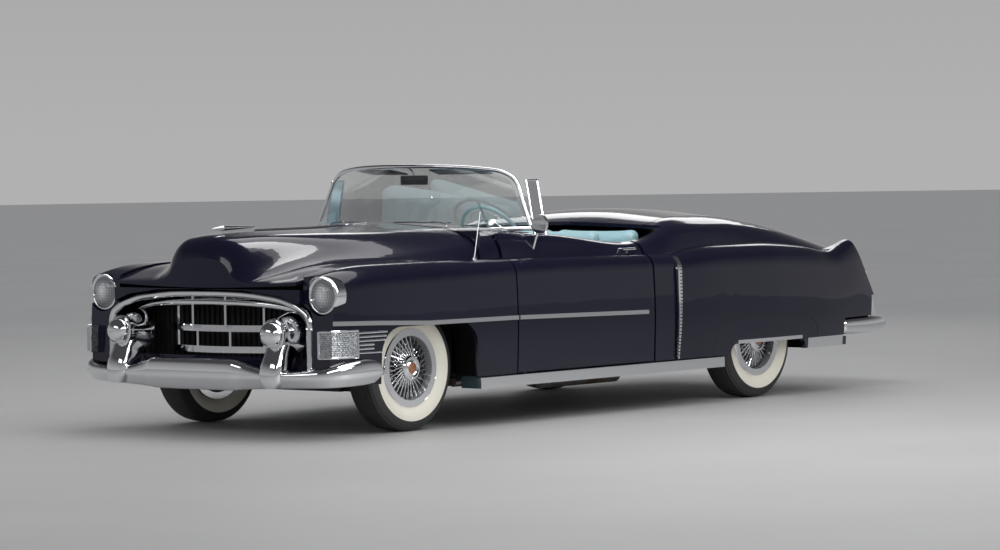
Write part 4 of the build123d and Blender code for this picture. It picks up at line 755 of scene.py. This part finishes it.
def land(node, start, direction, lift=0.0):
    """Where a ray meets a CAD node, lifted back along the ray."""
    if node not in trees:
        mesh = bmesh.new()
        mesh.from_mesh(nodes[node].data)
        trees[node] = BVHTree.FromBMesh(mesh)
        mesh.free()
    direction = Vector(direction).normalized()
    place = trees[node].ray_cast(Vector(start), direction)[0]
    if place is None:
        raise RuntimeError(f"no surface of {node} from {tuple(start)}")
    return place - direction * lift


# %% [markdown]
# The headlamps have a deep chrome rim that juts forward at the top, and a domed lens pressed
# with upright flutes. The rim and lens are one turned CAD piece, so the finish changes from
# chrome to fluted glass at the lens's edge, and the jutting brow is a skin bent round the rim.

# %% Headlamps
LAMP_X, LAMP_Z, LENS_RADIUS = 0.849, 0.789, 0.0845
lamp_finish = Finish("headlamp_lens")
across, along, up = lamp_finish.axes()
lamp_radius = ((across.size() - LAMP_X) * (across.size() - LAMP_X) + (up - LAMP_Z) * (up - LAMP_Z)).root()
lens_mask = (lamp_radius < LENS_RADIUS) * (along < -2.55)
flute = ((across.size() - LAMP_X) * (2 * pi / 0.0095)).sine() * (1 - lamp_radius.step(0.074, 0.080))
prisms = ((up - LAMP_Z) * (2 * pi / 0.030)).sine().size() * 0.25
# The lens colour is painted reflection: light at its middle as if the reflector shone through, and banded by the
# flutes and prisms where light would catch them.
painted_lens_reflection = lamp_finish.mix(lamp_radius.step(0.0, 0.085) + 0.25 * flute + prisms, rgb(0.92, 0.93, 0.93),
                       rgb(0.22, 0.23, 0.25))
lamp_finish.set(Base_Color=lamp_finish.mix(lens_mask, rgb(0.82, 0.83, 0.85), painted_lens_reflection),
                Metallic=1 - 0.65 * lens_mask,
                Roughness=0.06 + 0.10 * lens_mask, Coat_Weight=lens_mask)
lamp_finish.bump((flute + prisms) * lens_mask, 0.004, 0.8)
dress(lamp_finish.material, "headlamps")
for side, word in ((1, "left"), (-1, "right")):
    rows = []
    for step in range(17):
        turn = radians(-78 + 156 * step / 16)
        reach = 0.042 * cos(turn * 1.15) ** 1.2 if abs(turn) < radians(77) else 0.002
        rows.append([Vector((side * LAMP_X + r * sin(turn), y, LAMP_Z + r * cos(turn)))
                     for r, y in ((0.1095, -2.560), (0.1115, -2.585), (0.1100, -2.600 - 0.6 * reach),
                                  (0.1035, -2.604 - reach), (0.0985, -2.602 - 0.8 * reach),
                                  (0.0980, -2.598))])
    settle(skin(rows, levels=1), "headlamp_brow_" + word, chrome, "body")

# %% [markdown]
# Five chrome flutes run back from each parking lamp to the wheel opening, and a bright frame
# holds the ribbed glass.

# %% Parking lamp flutes and frames
LENS_PLAN = [(0.884, -2.682), (0.951, -2.648), (0.972, -2.458)]
LENS_LOW, LENS_HIGH = 0.450, 0.595
for side, word in ((1, "left"), (-1, "right")):
    fender = "front_fender_" + word
    flutes_made = []
    for z in (0.470, 0.492, 0.514, 0.536, 0.558, 0.580):
        points = [land(fender, (side * 1.3, y, z), (-side, 0, 0), -0.001)
                  for y in (-2.445, -2.39, -2.33, -2.262 + 0.35 * (z - 0.47))]
        flutes_made.append(wire(points, 0.0065, 3, smooth=False))
    settle(joined(flutes_made), "fender_flutes_" + word, chrome, "body")
    edges = []
    for z in (LENS_LOW, LENS_HIGH):
        edges.append(wire([(side * x, y, z) for x, y in LENS_PLAN], 0.006, 3, smooth=False))
    for x, y in (LENS_PLAN[0], LENS_PLAN[-1]):
        edges.append(wire([(side * x, y, LENS_LOW), (side * x, y, LENS_HIGH)], 0.006, 3, smooth=False))
    settle(joined(edges), "parking_frame_" + word, chrome, "body")
print("lamps dressed")

# %% [markdown]
# A thin bright bead runs down the middle of the hood from the dart towards the windshield.

# %% Hood bead
bead_points = [land("hood", (0, y, 1.6), (0, 0, -1), 0.002)
               for y in [-2.25 + 0.95 * i / 12 for i in range(13)]]
settle(wire(bead_points, 0.007, 3), "hood_bead", chrome, "hood_panel")

# %% [markdown]
# The seats are leather over springs. Each cushion starts as a rounded block a little smaller
# than the real one, is remeshed evenly, and is blown up by cloth pressure for a moment, with its
# movement capped. That gives the crown and the pulled-in corners. Sewn channels are pressed in
# afterwards, because remeshing would erase them.

# %% Leather
leather = Finish("turquoise_leather")
tone = leather.noise(3.0, 4.0)
grain = leather.node("TexVoronoi", inputs={"Vector": leather.place(), "Scale": 420.0})
leather.set(Base_Color=leather.mix(tone, rgb(0.24, 0.42, 0.47), rgb(0.33, 0.52, 0.56)),
            Roughness=0.38 + 0.2 * leather.noise(50.0))
leather.bump(grain, 0.0008, 0.25)
welt_finish = Finish("pale_welt")
welt_finish.set(Base_Color=welt_finish.mix(welt_finish.noise(30.0), rgb(0.42, 0.58, 0.60),
                                           rgb(0.52, 0.66, 0.68)), Roughness=0.45)
VOXEL, SWELL_CAP = 0.012, 0.022


def cushion(low, high, lean=0.0, edge=0.035):
    """A swollen pad between two corners, which leans back by lean times its height."""
    obj = block(low, high, edge, 4)
    even = obj.modifiers.new("even", "REMESH")
    even.mode = "VOXEL"
    even.voxel_size = VOXEL
    apply_all(obj)
    start = [v.co.copy() for v in obj.data.vertices]
    swell = obj.modifiers.new("swell", "CLOTH")
    swell.settings.use_pressure = True
    swell.settings.uniform_pressure_force = 4.0
    swell.settings.effector_weights.gravity = 0.0
    swell.point_cache.frame_start, swell.point_cache.frame_end = 1, 20
    for frame_number in range(1, 21):
        bpy.context.scene.frame_set(frame_number)
    apply_all(obj)
    bpy.context.scene.frame_set(1)
    for v, rest in zip(obj.data.vertices, start):
        moved = v.co - rest
        if moved.length > SWELL_CAP:
            v.co = rest + moved * (SWELL_CAP / moved.length)
    smooth = obj.modifiers.new("smooth", "SUBSURF")
    smooth.levels = smooth.render_levels = 1
    apply_all(obj)
    for v in obj.data.vertices:
        v.co.y += lean * (v.co.z - low[2])
    return obj


def sew(obj, facing, width, depth, inside, phase=0.0):
    """Presses channels across X into the faces that look a way, where inside says."""
    facing = Vector(facing)
    normals = [v.normal.copy() for v in obj.data.vertices]
    for v, normal in zip(obj.data.vertices, normals):
        if normal.dot(facing) > 0.55 and inside(v.co):
            share = abs(sin(pi * (v.co.x - phase) / width))
            v.co -= facing * depth * (1 - share ** 0.45)
    return obj


SEAT_EDGE = 0.655


def bench_half(word, side, low_y, high_y, seat_z, back_low, back_high, back_y, lean):
    """One half of a bench: its cushion and its backrest."""
    x0, x1 = sorted((side * 0.010, side * SEAT_EDGE))
    base = cushion((x0, low_y, seat_z - 0.125), (x1, high_y, seat_z), 0.0, 0.045)
    sew(base, (0, 0, 1), 0.062, 0.012,
        lambda p: abs(abs(p.x) - 0.33) < 0.27 and p.y < high_y - 0.02 and p.y > low_y + 0.045)
    back = cushion((x0, back_y, back_low), (x1, back_y + 0.105, back_high), lean, 0.045)
    sew(back, (0, -1, 0), 0.062, 0.012, lambda p: abs(abs(p.x) - 0.33) < 0.27 and p.z < back_high - 0.10)
    return base, back


for word, low_y, high_y, seat_z, back_low, back_high, back_y, lean in (
        ("front", -0.505, -0.060, 0.565, 0.575, 1.085, -0.050, 0.135),
        ("rear", 0.215, 0.365, 0.575, 0.585, 1.078, 0.355, 0.085)):
    for side, half in ((1, "left"), (-1, "right")):
        base, back_rest = bench_half(word, side, low_y, high_y, seat_z, back_low, back_high, back_y, lean)
        for piece, role in ((base, "cushion"), (back_rest, "backrest")):
            settle(piece, word + "_" + role + "_" + half, leather, "body", 60)
    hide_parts(word + "_seat")
    box_low, box_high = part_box(word + "_seat")
    plinth = block((-0.66, box_low.y + 0.03, box_low.z),
                   (0.66, (-0.02 if word == "front" else 0.44), seat_z - 0.135), 0.012)
    settle(plinth, word + "_seat_plinth", welt_finish, "body")

# %% [markdown]
# The steering wheel's rim and spokes are moulded plastic in the cabin's colour and its horn ring
# is chrome. They are one CAD piece, so the finish changes with the distance from the wheel's
# axis, which leans back.

# %% Steering wheel and column
STEER_CENTRE, STEER_LEAN = (0.380, -0.602, 1.047), radians(32.0)
plastic = Finish("steering_plastic")
across, along, up = plastic.axes(STEER_CENTRE)
in_plane = along * sin(STEER_LEAN) - up * cos(STEER_LEAN)
reach = (across * across + in_plane * in_plane).root()
bright = (((reach - 0.120).size() < 0.0052) + (reach < 0.046)).step(0.4, 0.6)
plastic.set(Base_Color=plastic.mix(bright, rgb(0.30, 0.47, 0.50), rgb(0.82, 0.83, 0.85)), Metallic=bright,
            Roughness=0.30 - 0.22 * bright + 0.04 * plastic.noise(30.0))
dress(plastic.material, "steering_wheel")
dress(satin.material, "steering_column")
HORN_CAP = [(0.0, 0.041), (0.018, 0.040), (0.030, 0.035), (0.038, 0.029), (0.044, 0.025), (0.0445, 0.010)]
axle_way = (0, cos(STEER_LEAN), sin(STEER_LEAN))
settle(turned(HORN_CAP, STEER_CENTRE, axle_way, 40), "horn_cap", welt_finish, "hand_wheel")

# %% [markdown]
# The dashboard is painted in the cabin's colour above and has an engraved bright band with the
# gauges behind the steering wheel and a round dial in the middle.

# %% Dashboard
dash_paint = Finish("dashboard_paint")
across, along, up = dash_paint.axes()
top = up.step(1.020, 1.024)
dash_paint.set(Base_Color=dash_paint.mix(top, rgb(0.20, 0.36, 0.40), rgb(0.022, 0.030, 0.055)),
               Roughness=0.28 + 0.30 * top + 0.05 * dash_paint.noise(40.0))
dress(dash_paint.material, "dashboard")
FACE_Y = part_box("dashboard")[1].y
gauge_black = Finish("gauge_face")
gauge_black.set(Base_Color=gauge_black.mix(gauge_black.noise(60.0), rgb(0.01, 0.012, 0.016),
                                           rgb(0.02, 0.022, 0.03)), Roughness=0.2, Coat_Weight=1.0)
BEZEL = [(0.030, 0.0), (0.034, 0.006), (0.032, 0.010), (0.028, 0.008), (0.027, 0.002)]
band = block((-0.70, FACE_Y - 0.004, 0.925), (0.70, FACE_Y + 0.004, 0.965), 0.003)
ribs = [block((x - 0.0012, FACE_Y + 0.002, 0.928), (x + 0.0012, FACE_Y + 0.0055, 0.962), 0.0004, 1)
        for x in [-0.69 + 0.0115 * i for i in range(121)]]
settle(joined([band] + ribs), "dashboard_band", chrome, "body")
gauges, faces = [], []
for x, size in ((0.26, 1.3), (0.38, 2.1), (0.50, 1.3), (0.0, 1.5)):
    scaled = [(radius * size, along_axis) for radius, along_axis in BEZEL]
    gauges.append(turned(scaled, (x, FACE_Y + 0.003, 0.945), (0, 1, 0), 36))
    faces.append(turned([(0.0, 0.004), (0.026 * size, 0.003), (0.0275 * size, 0.0)],
                        (x, FACE_Y + 0.003, 0.945), (0, 1, 0), 36))
settle(joined(gauges), "gauge_bezels", chrome, "body")
settle(joined(faces), "gauge_faces", gauge_black, "body")
ticks = []
for x, size, marks in ((0.26, 1.3, 5), (0.38, 2.1, 11), (0.50, 1.3, 5), (0.0, 1.5, 12)):
    for number in range(marks):
        turn = radians(-120 + 240 * number / (marks - 1)) if marks != 12 else 2 * pi * number / 12
        ring_radius = 0.020 * size
        tick = block((x - 0.0008, FACE_Y + 0.0066, 0.945 + ring_radius),
                     (x + 0.0008, FACE_Y + 0.0076, 0.945 + ring_radius + 0.007), 0.0002, 1)
        pin = Vector((x, 0, 0.945))
        turn_about = Matrix.Translation(pin) @ Matrix.Rotation(turn, 4, "Y") @ Matrix.Translation(-pin)
        tick.data.transform(turn_about)
        ticks.append(tick)
settle(joined(ticks), "gauge_marks", welt_finish, "body")

# %% [markdown]
# Each door wears a leather card with sewn channels, a padded armrest and two bright handles. The
# card hangs a hair off the steel so that the two never touch while the door swings with it.

# %% Door cards
CARD_X = 0.8142


def card(side, low_y, high_y, low_z, high_z):
    """A thin upholstered card with channels pressed in along its middle."""
    rows = []
    for i in range(61):
        y = low_y + (high_y - low_y) * i / 60
        row = []
        for j in range(13):
            z = low_z + (high_z - low_z) * j / 12
            rim = min(i, 60 - i, 2 * j, 2 * (12 - j))
            puff = 0.010 * min(rim, 3) / 3
            if 3 < j < 10:
                puff += 0.006 * abs(sin(pi * i / 4)) ** 0.5
            row.append(Vector((side * (CARD_X - puff - 0.001), y, z)))
        rows.append(row)
    return skin(rows, thickness=0.0015, levels=1)


for side, word in ((1, "left"), (-1, "right")):
    body = word + "_door"
    settle(card(side, -0.965, 0.085, 0.400, 0.905), "door_card_" + word, leather, body, 60)
    rest = cushion((min(side * 0.745, side * 0.797), -0.52, 0.700),
                   (max(side * 0.745, side * 0.797), -0.12, 0.752), 0.0, 0.018)
    settle(rest, "door_armrest_" + word, leather, body, 60)
    crank = turned([(0.0, 0.020), (0.016, 0.018), (0.020, 0.010), (0.022, 0.0)], (side * 0.803, -0.66, 0.655),
                   (-side, 0, 0), 28)
    arm = wire([(side * 0.786, -0.66, 0.655), (side * 0.780, -0.62, 0.640), (side * 0.776, -0.575, 0.630)],
               0.006)
    knob = turned([(0.0, 0.022), (0.008, 0.020), (0.010, 0.010), (0.007, 0.0)], (side * 0.776, -0.575, 0.630),
                  (-side, 0, 0), 24)
    pull = wire([(side * 0.800, -0.10, 0.815), (side * 0.782, -0.12, 0.812), (side * 0.780, -0.20, 0.806)],
                0.007)
    settle(joined([crank, arm, knob, pull]), "door_handles_" + word, chrome, body)
print("cabin dressed")

# %% [markdown]
# Carpet covers the floor. It is a dark blue-green loop pile, so a fine cell pattern stirs both
# its colour and its bump.

# %% Carpet
carpet = Finish("loop_carpet")
loops = carpet.node("TexVoronoi", inputs={"Vector": carpet.place(), "Scale": 260.0})
carpet.set(Base_Color=carpet.mix(loops, rgb(0.012, 0.030, 0.040), rgb(0.040, 0.085, 0.10)), Roughness=0.95)
carpet.bump(loops, 0.003, 0.8)
dress(carpet.material, "floor_pan")

# %% [markdown]
# A smooth bright frame runs round the raked, curved glass, with two wipers parked along its foot,
# a rear-view mirror on a stem and two dark sun visors under the header. An aerial stands on the
# left fender.

# %% Windshield pieces
dark_plastic = Finish("dark_visor")
dark_plastic.set(Base_Color=dark_plastic.mix(dark_plastic.noise(20.0), rgb(0.012, 0.014, 0.020),
                                             rgb(0.03, 0.032, 0.040)), Roughness=0.5)
dark_plastic.bump(dark_plastic.noise(500.0), 0.0004, 0.3)
# The frame's middle line seen from the front, from the left foot to the header's middle.
FRAME_LINE = [(0.8440, 1.104), (0.7960, 1.207), (0.7455, 1.326), (0.7270, 1.366), (0.7020, 1.398),
              (0.6600, 1.426), (0.6060, 1.446), (0.5000, 1.458), (0.3950, 1.467), (0.2000, 1.473), (0.0, 1.4745)]
FRAME_RADIUS, FOOT_X, FOOT_Z, FOOT_STEPS = 0.0125, 0.844, 1.106, 16
# The glass's foot and height, and where its middle and its sides stand and lean to.
SHIELD_LOW, SHIELD_HEIGHT = 1.100, 0.388
MIDDLE_Y, MIDDLE_LEAN, SIDE_Y, SIDE_LEAN, SIDE_X, SIDE_TAPER = -1.188, 0.253, -0.790, 0.025, 0.858, 0.168


def shield_y(x, z):
    """Middle of the raked, curved windshield's thickness at a place seen from the front."""
    rise = (z - SHIELD_LOW) / SHIELD_HEIGHT
    middle, side = MIDDLE_Y + MIDDLE_LEAN * rise, SIDE_Y + SIDE_LEAN * rise
    return middle + (side - middle) * (x / (SIDE_X - SIDE_TAPER * rise)) ** 2


arch = FRAME_LINE + [(-x, z) for x, z in reversed(FRAME_LINE[:-1])]
foot = [(FOOT_X * (1 - 2 * step / FOOT_STEPS), FOOT_Z) for step in range(FOOT_STEPS + 1)]
frame_wires = [wire([(x, shield_y(x, z), z) for x, z in line], FRAME_RADIUS, 5) for line in (arch, foot)]
settle(joined(frame_wires), "windshield_surround", chrome, "body")
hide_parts("windshield_frame")
VISOR_X, VISOR_Y, VISOR_Z, VISOR_TURN = 0.31, -0.805, 1.440, 12.9
for side, word in ((1, "left"), (-1, "right")):
    visor = block((-0.18, -0.065, -0.005), (0.18, 0.065, 0.005), 0.0045)
    turn = Matrix.Rotation(radians(side * VISOR_TURN), 4, "Z") @ Matrix.Rotation(radians(-12), 4, "X")
    visor.matrix_world = Matrix.Translation((side * VISOR_X, VISOR_Y, VISOR_Z)) @ turn
    settle(visor, "sun_visor_" + word, dark_plastic, "body")
settle(block((-0.105, -0.876, 1.364), (0.105, -0.858, 1.420), 0.008), "rear_view_mirror", dark_plastic,
       "body")
stem = wire([(0, -0.868, 1.400), (0, -0.868, 1.435), (0, -0.905, 1.462), (0, -0.936, 1.470)], 0.005)
settle(stem, "mirror_stem", chrome, "body")
for side, word in ((1, "left"), (-1, "right")):
    line = [land("windshield_glass", (side * x, -1.6, z), (0, 1, 0), 0.012)
            for x, z in ((0.10, 1.150), (0.22, 1.152), (0.34, 1.150), (0.46, 1.146))]
    blade = wire(line, 0.0035, 2)
    arm = wire([land("cowl", (side * 0.47, -1.13, 1.6), (0, 0, -1), -0.003),
                line[3] + Vector((0, -0.008, 0.004)), line[2] + Vector((0, -0.006, 0.004))], 0.004, 2)
    settle(joined([blade, arm]), "wiper_" + word, chrome, "body")
aerial_foot = land("front_fender_left", (0.88, -1.363, 1.6), (0, 0, -1), -0.002)
aerial = wire([aerial_foot, aerial_foot + Vector((0.0, 0.03, 0.14)),
               aerial_foot + Vector((0.0, 0.06, 0.272))], 0.0022, 2)
aerial_base = turned([(0.013, 0.0), (0.013, 0.008), (0.007, 0.014), (0.006, 0.03), (0.0, 0.032)], aerial_foot,
                     (0, 0.2, 1), 24)
settle(joined([aerial, aerial_base]), "aerial", chrome, "body")
print("windshield dressed")

# %% [markdown]
# The bright scoop ahead of the rear wheel is pierced by a row of slots. The slots are part of its
# finish, because they are shallow: each is painted shade, dark, rough and not metallic, and pressed
# in by a bump. The rest of the side trim stays plain chrome.

# %% Side trim
slotted = Finish("slotted_trim")
across, along, up = slotted.axes()
behind_edge = along - (0.345 + 0.063 * (up - 0.29))
in_scoop = (behind_edge > 0.017) * (behind_edge < 0.060) * (up > 0.300) * (up < 0.875) * (along < 0.430)
# The slots are painted shade: dark where each slot's recess would lie in shadow.
slots = (up * (2 * pi / 0.0205)).sine().step(0.45, 0.7) * in_scoop
slotted.set(Base_Color=slotted.mix(slots, rgb(0.82, 0.83, 0.85), rgb(0.01, 0.01, 0.012)), Metallic=1 - slots,
            Roughness=0.06 + 0.4 * slots)
slotted.bump(1 - slots, 0.004, 0.6)
dress(slotted.material, "side_trim_left", "side_trim_right")

# %% [markdown]
# A skirt covers the top of each rear wheel. Its joint with the fender is a fine dark line, laid
# on the panel as a wire so thin that it reads as a gap.

# %% Skirt joints
gap_finish = Finish("joint_shadow")
gap_finish.set(Base_Color=gap_finish.mix(gap_finish.noise(40.0), rgb(0.001, 0.001, 0.001),
                                         rgb(0.003, 0.003, 0.003)), Roughness=0.9)
SKIRT_LINE = [(0.712, 0.300), (0.739, 0.355), (0.765, 0.425), (0.799, 0.478), (0.850, 0.498), (0.903, 0.505),
              (1.193, 0.518),
              (1.45, 0.512), (1.601, 0.505), (1.700, 0.496), (1.754, 0.480), (1.800, 0.455), (1.828, 0.420),
              (1.834, 0.370)]
for side, word in ((1, "left"), (-1, "right")):
    line = [land("rear_quarter_" + word, (side * 1.4, y, z), (-side, 0, 0), -0.0005) for y, z in SKIRT_LINE]
    settle(wire(line, 0.0022, 1, smooth=False), "skirt_joint_" + word, gap_finish, "body")

# %% [markdown]
# The rear bumper is a curved bar with a crease, two guards on it and a round-nosed end that
# closes each fender, with a short upright and the mouth of an exhaust. Its brackets run to the
# rails. The bar is a skin of section rows like the front one.

# %% Rear bumper
BAR_MIDDLE_Y, BAR_SWEEP, BAR_HALF = 2.800, 0.100, 0.815
# The bar's section from its top inner edge over the face to its lower one: inward and height.
REAR_SECTION = [(0.052, 0.512), (0.020, 0.519), (0.006, 0.512), (0.001, 0.482), (0.000, 0.466),
                (0.008, 0.461),
                (0.008, 0.453), (0.000, 0.448), (0.002, 0.424), (0.008, 0.408), (0.022, 0.400),
                (0.052, 0.405)]
# Place along the car, middle and half width, top and foot of the bumper end.
POD_ROWS = [(2.1470, 0.900, 0.030, 0.425, 0.375), (2.1480, 0.900, 0.084, 0.452, 0.350),
            (2.170, 0.900, 0.087, 0.455, 0.347), (2.300, 0.896, 0.088, 0.456, 0.342),
            (2.420, 0.888, 0.088, 0.456, 0.338), (2.520, 0.878, 0.084, 0.455, 0.339),
            (2.620, 0.868, 0.074, 0.453, 0.343), (2.690, 0.860, 0.058, 0.446, 0.352),
            (2.732, 0.854, 0.038, 0.426, 0.364), (2.750, 0.851, 0.014, 0.400, 0.380)]
# Height, half width, front and back of the upright on each bumper end.
STUB_ROWS = [(0.440, 0.040, 2.500, 2.600), (0.480, 0.034, 2.508, 2.588), (0.520, 0.030, 2.512, 2.582),
             (0.560, 0.028, 2.514, 2.578), (0.578, 0.024, 2.518, 2.573), (0.588, 0.010, 2.532, 2.558)]
REAR_GUARD_X = 0.360
REAR_GUARD_ROWS = [(0.384, 0.012, 2.772, 2.784), (0.392, 0.026, 2.755, 2.798), (0.430, 0.031, 2.745, 2.802),
                   (0.500, 0.031, 2.745, 2.802), (0.548, 0.029, 2.748, 2.801), (0.574, 0.022, 2.756, 2.794),
                   (0.582, 0.008, 2.768, 2.782)]


def bar_y(x):
    """Place of the rear bar's face along the car."""
    return BAR_MIDDLE_Y - BAR_SWEEP * (x / BAR_HALF) ** 2


def signed_power(value, power):
    return abs(value) ** power * (1 if value > 0 else -1)


rear_rows = []
for step in range(17):
    x = BAR_HALF * (step / 8 - 1)
    outward = Vector((2 * BAR_SWEEP * x / BAR_HALF ** 2, 1, 0)).normalized()
    rear_rows.append([Vector((x, bar_y(x), z)) - outward * inward for inward, z in REAR_SECTION])
rear_bar = [skin(rear_rows, thickness=0.005, levels=1)]
for side in (1, -1):
    rear_bar.append(skin([ring(*row, side * REAR_GUARD_X) for row in REAR_GUARD_ROWS], levels=1))
    rear_bar.append(block((side * 0.4 - 0.028, 2.36, 0.425), (side * 0.4 + 0.028, bar_y(0.4) - 0.03, 0.475),
                          0.006))
settle(joined(rear_bar), "rear_bumper_bar", chrome, "body")
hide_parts("rear_bumper")
# The exhaust mouth is coloured nearly black: partly the pipe's soot and partly painted shade of the pipe's
# inside.
soot_and_shade = Finish("pipe_soot_and_shade")
soot_and_shade.set(Base_Color=soot_and_shade.mix(soot_and_shade.noise(50.0), rgb(0.004, 0.004, 0.004), rgb(0.015, 0.013, 0.012)),
         Roughness=0.9)
MOUTH = [(0.0, -0.030), (0.022, -0.028), (0.026, 0.0), (0.029, 0.002), (0.026, 0.003)]
for side, word in ((1, "left"), (-1, "right")):
    pod_rows = []
    for y, middle, half, top, foot in POD_ROWS:
        turns = [2 * pi * (step % 24) / 24 for step in range(25)]
        pod_rows.append([Vector((side * (middle + half * signed_power(cos(turn), 0.6)), y,
                                 (top + foot) / 2 + (top - foot) / 2 * signed_power(sin(turn), 0.6)))
                                 for turn in turns])
    stub = skin([ring(*row, side * 0.885, 16) for row in STUB_ROWS], levels=1)
    settle(joined([skin(pod_rows, levels=1), stub]), "bumper_end_" + word, chrome, "body")
    mouth = turned(MOUTH, (side * 0.851, 2.7475, 0.390), (0, 1, 0), 32)
    settle(mouth, "exhaust_mouth_" + word, soot_and_shade, "body")
print("rear bumper made of", len(rear_bar), "meshes and two ends")

# %% [markdown]
# A blank plate in a bright frame hangs on the tail panel, and the trunk lid has a plain handle
# on a round escutcheon. Both take their place from where a ray meets the panel.

# %% Plate and handle
plate_finish = Finish("blank_plate")
plate_finish.set(Base_Color=plate_finish.mix(plate_finish.noise(15.0), rgb(0.55, 0.55, 0.50),
                                             rgb(0.62, 0.61, 0.56)),
                 Roughness=0.35)
PLATE_Z, PLATE_HALF_X, PLATE_HALF_Z = 0.640, 0.155, 0.0775
panel_y = land("rear_deck", (0, 3.2, PLATE_Z), (0, -1, 0)).y
plate = block((-PLATE_HALF_X, panel_y + 0.001, PLATE_Z - PLATE_HALF_Z),
              (PLATE_HALF_X, panel_y + 0.005, PLATE_Z + PLATE_HALF_Z), 0.0015)
settle(plate, "blank_plate", plate_finish, "body")
corners = [(x * PLATE_HALF_X, panel_y + 0.004, PLATE_Z + z * PLATE_HALF_Z) for x,
           z in ((-1, -1), (1, -1), (1, 1), (-1, 1))]
edges = [wire([corners[i], corners[(i + 1) % 4]], 0.0055, 3, smooth=False) for i in range(4)]
settle(joined(edges), "plate_frame", chrome, "body")
HANDLE_Z = 0.885
seat = land("trunk_lid", (0, 3.2, HANDLE_Z), (0, -1, 0), 0.0)
escutcheon = turned([(0.0, 0.012), (0.014, 0.011), (0.021, 0.006), (0.024, -0.004)], seat, (0, 1, 0.25), 32)
grip = block(seat + Vector((-0.055, 0.014, -0.010)), seat + Vector((0.055, 0.026, 0.006)), 0.005)
neck = wire([seat, seat + Vector((0, 0.020, 0))], 0.008, 3, smooth=False)
settle(joined([escutcheon, grip, neck]), "trunk_handle", chrome, "trunk_panel")
print("plate and handle placed")

# %% [markdown]
# A ruby lens runs down the slanted end of each fin and wraps a little round it, so it shows from
# the side too, with a small clear lens at its foot and a thin bright bezel between them.

# %% Tail lamp lenses
for side, word in ((1, "left"), (-1, "right")):
    lens_rows = []
    for step in range(15):
        share = step / 14
        y, z = 2.372 + share * 0.095, 0.908 - share * 0.205
        swell = sin(pi * min(max(share, 0.02), 0.98)) ** 0.35
        lens_rows.append([Vector((side * (0.880 + 0.036 * swell * cos(turn)),
                                  y - 0.004 + 0.042 * swell * sin(turn), z + 0.012 * swell * sin(turn)))
                          for turn in [pi * k / 10 for k in range(11)]])
    settle(skin(lens_rows, levels=1), "tail_lens_" + word, ruby, "body")
    bezel = [Vector((side * (0.880 + 0.037 * cos(turn)), 2.449 + 0.040 * sin(turn),
                     0.742 + 0.012 * sin(turn))) for turn in [pi * k / 12 for k in range(13)]]
    settle(wire(bezel, 0.0035, 2), "tail_bezel_" + word, chrome, "body")
print("tail dressed")
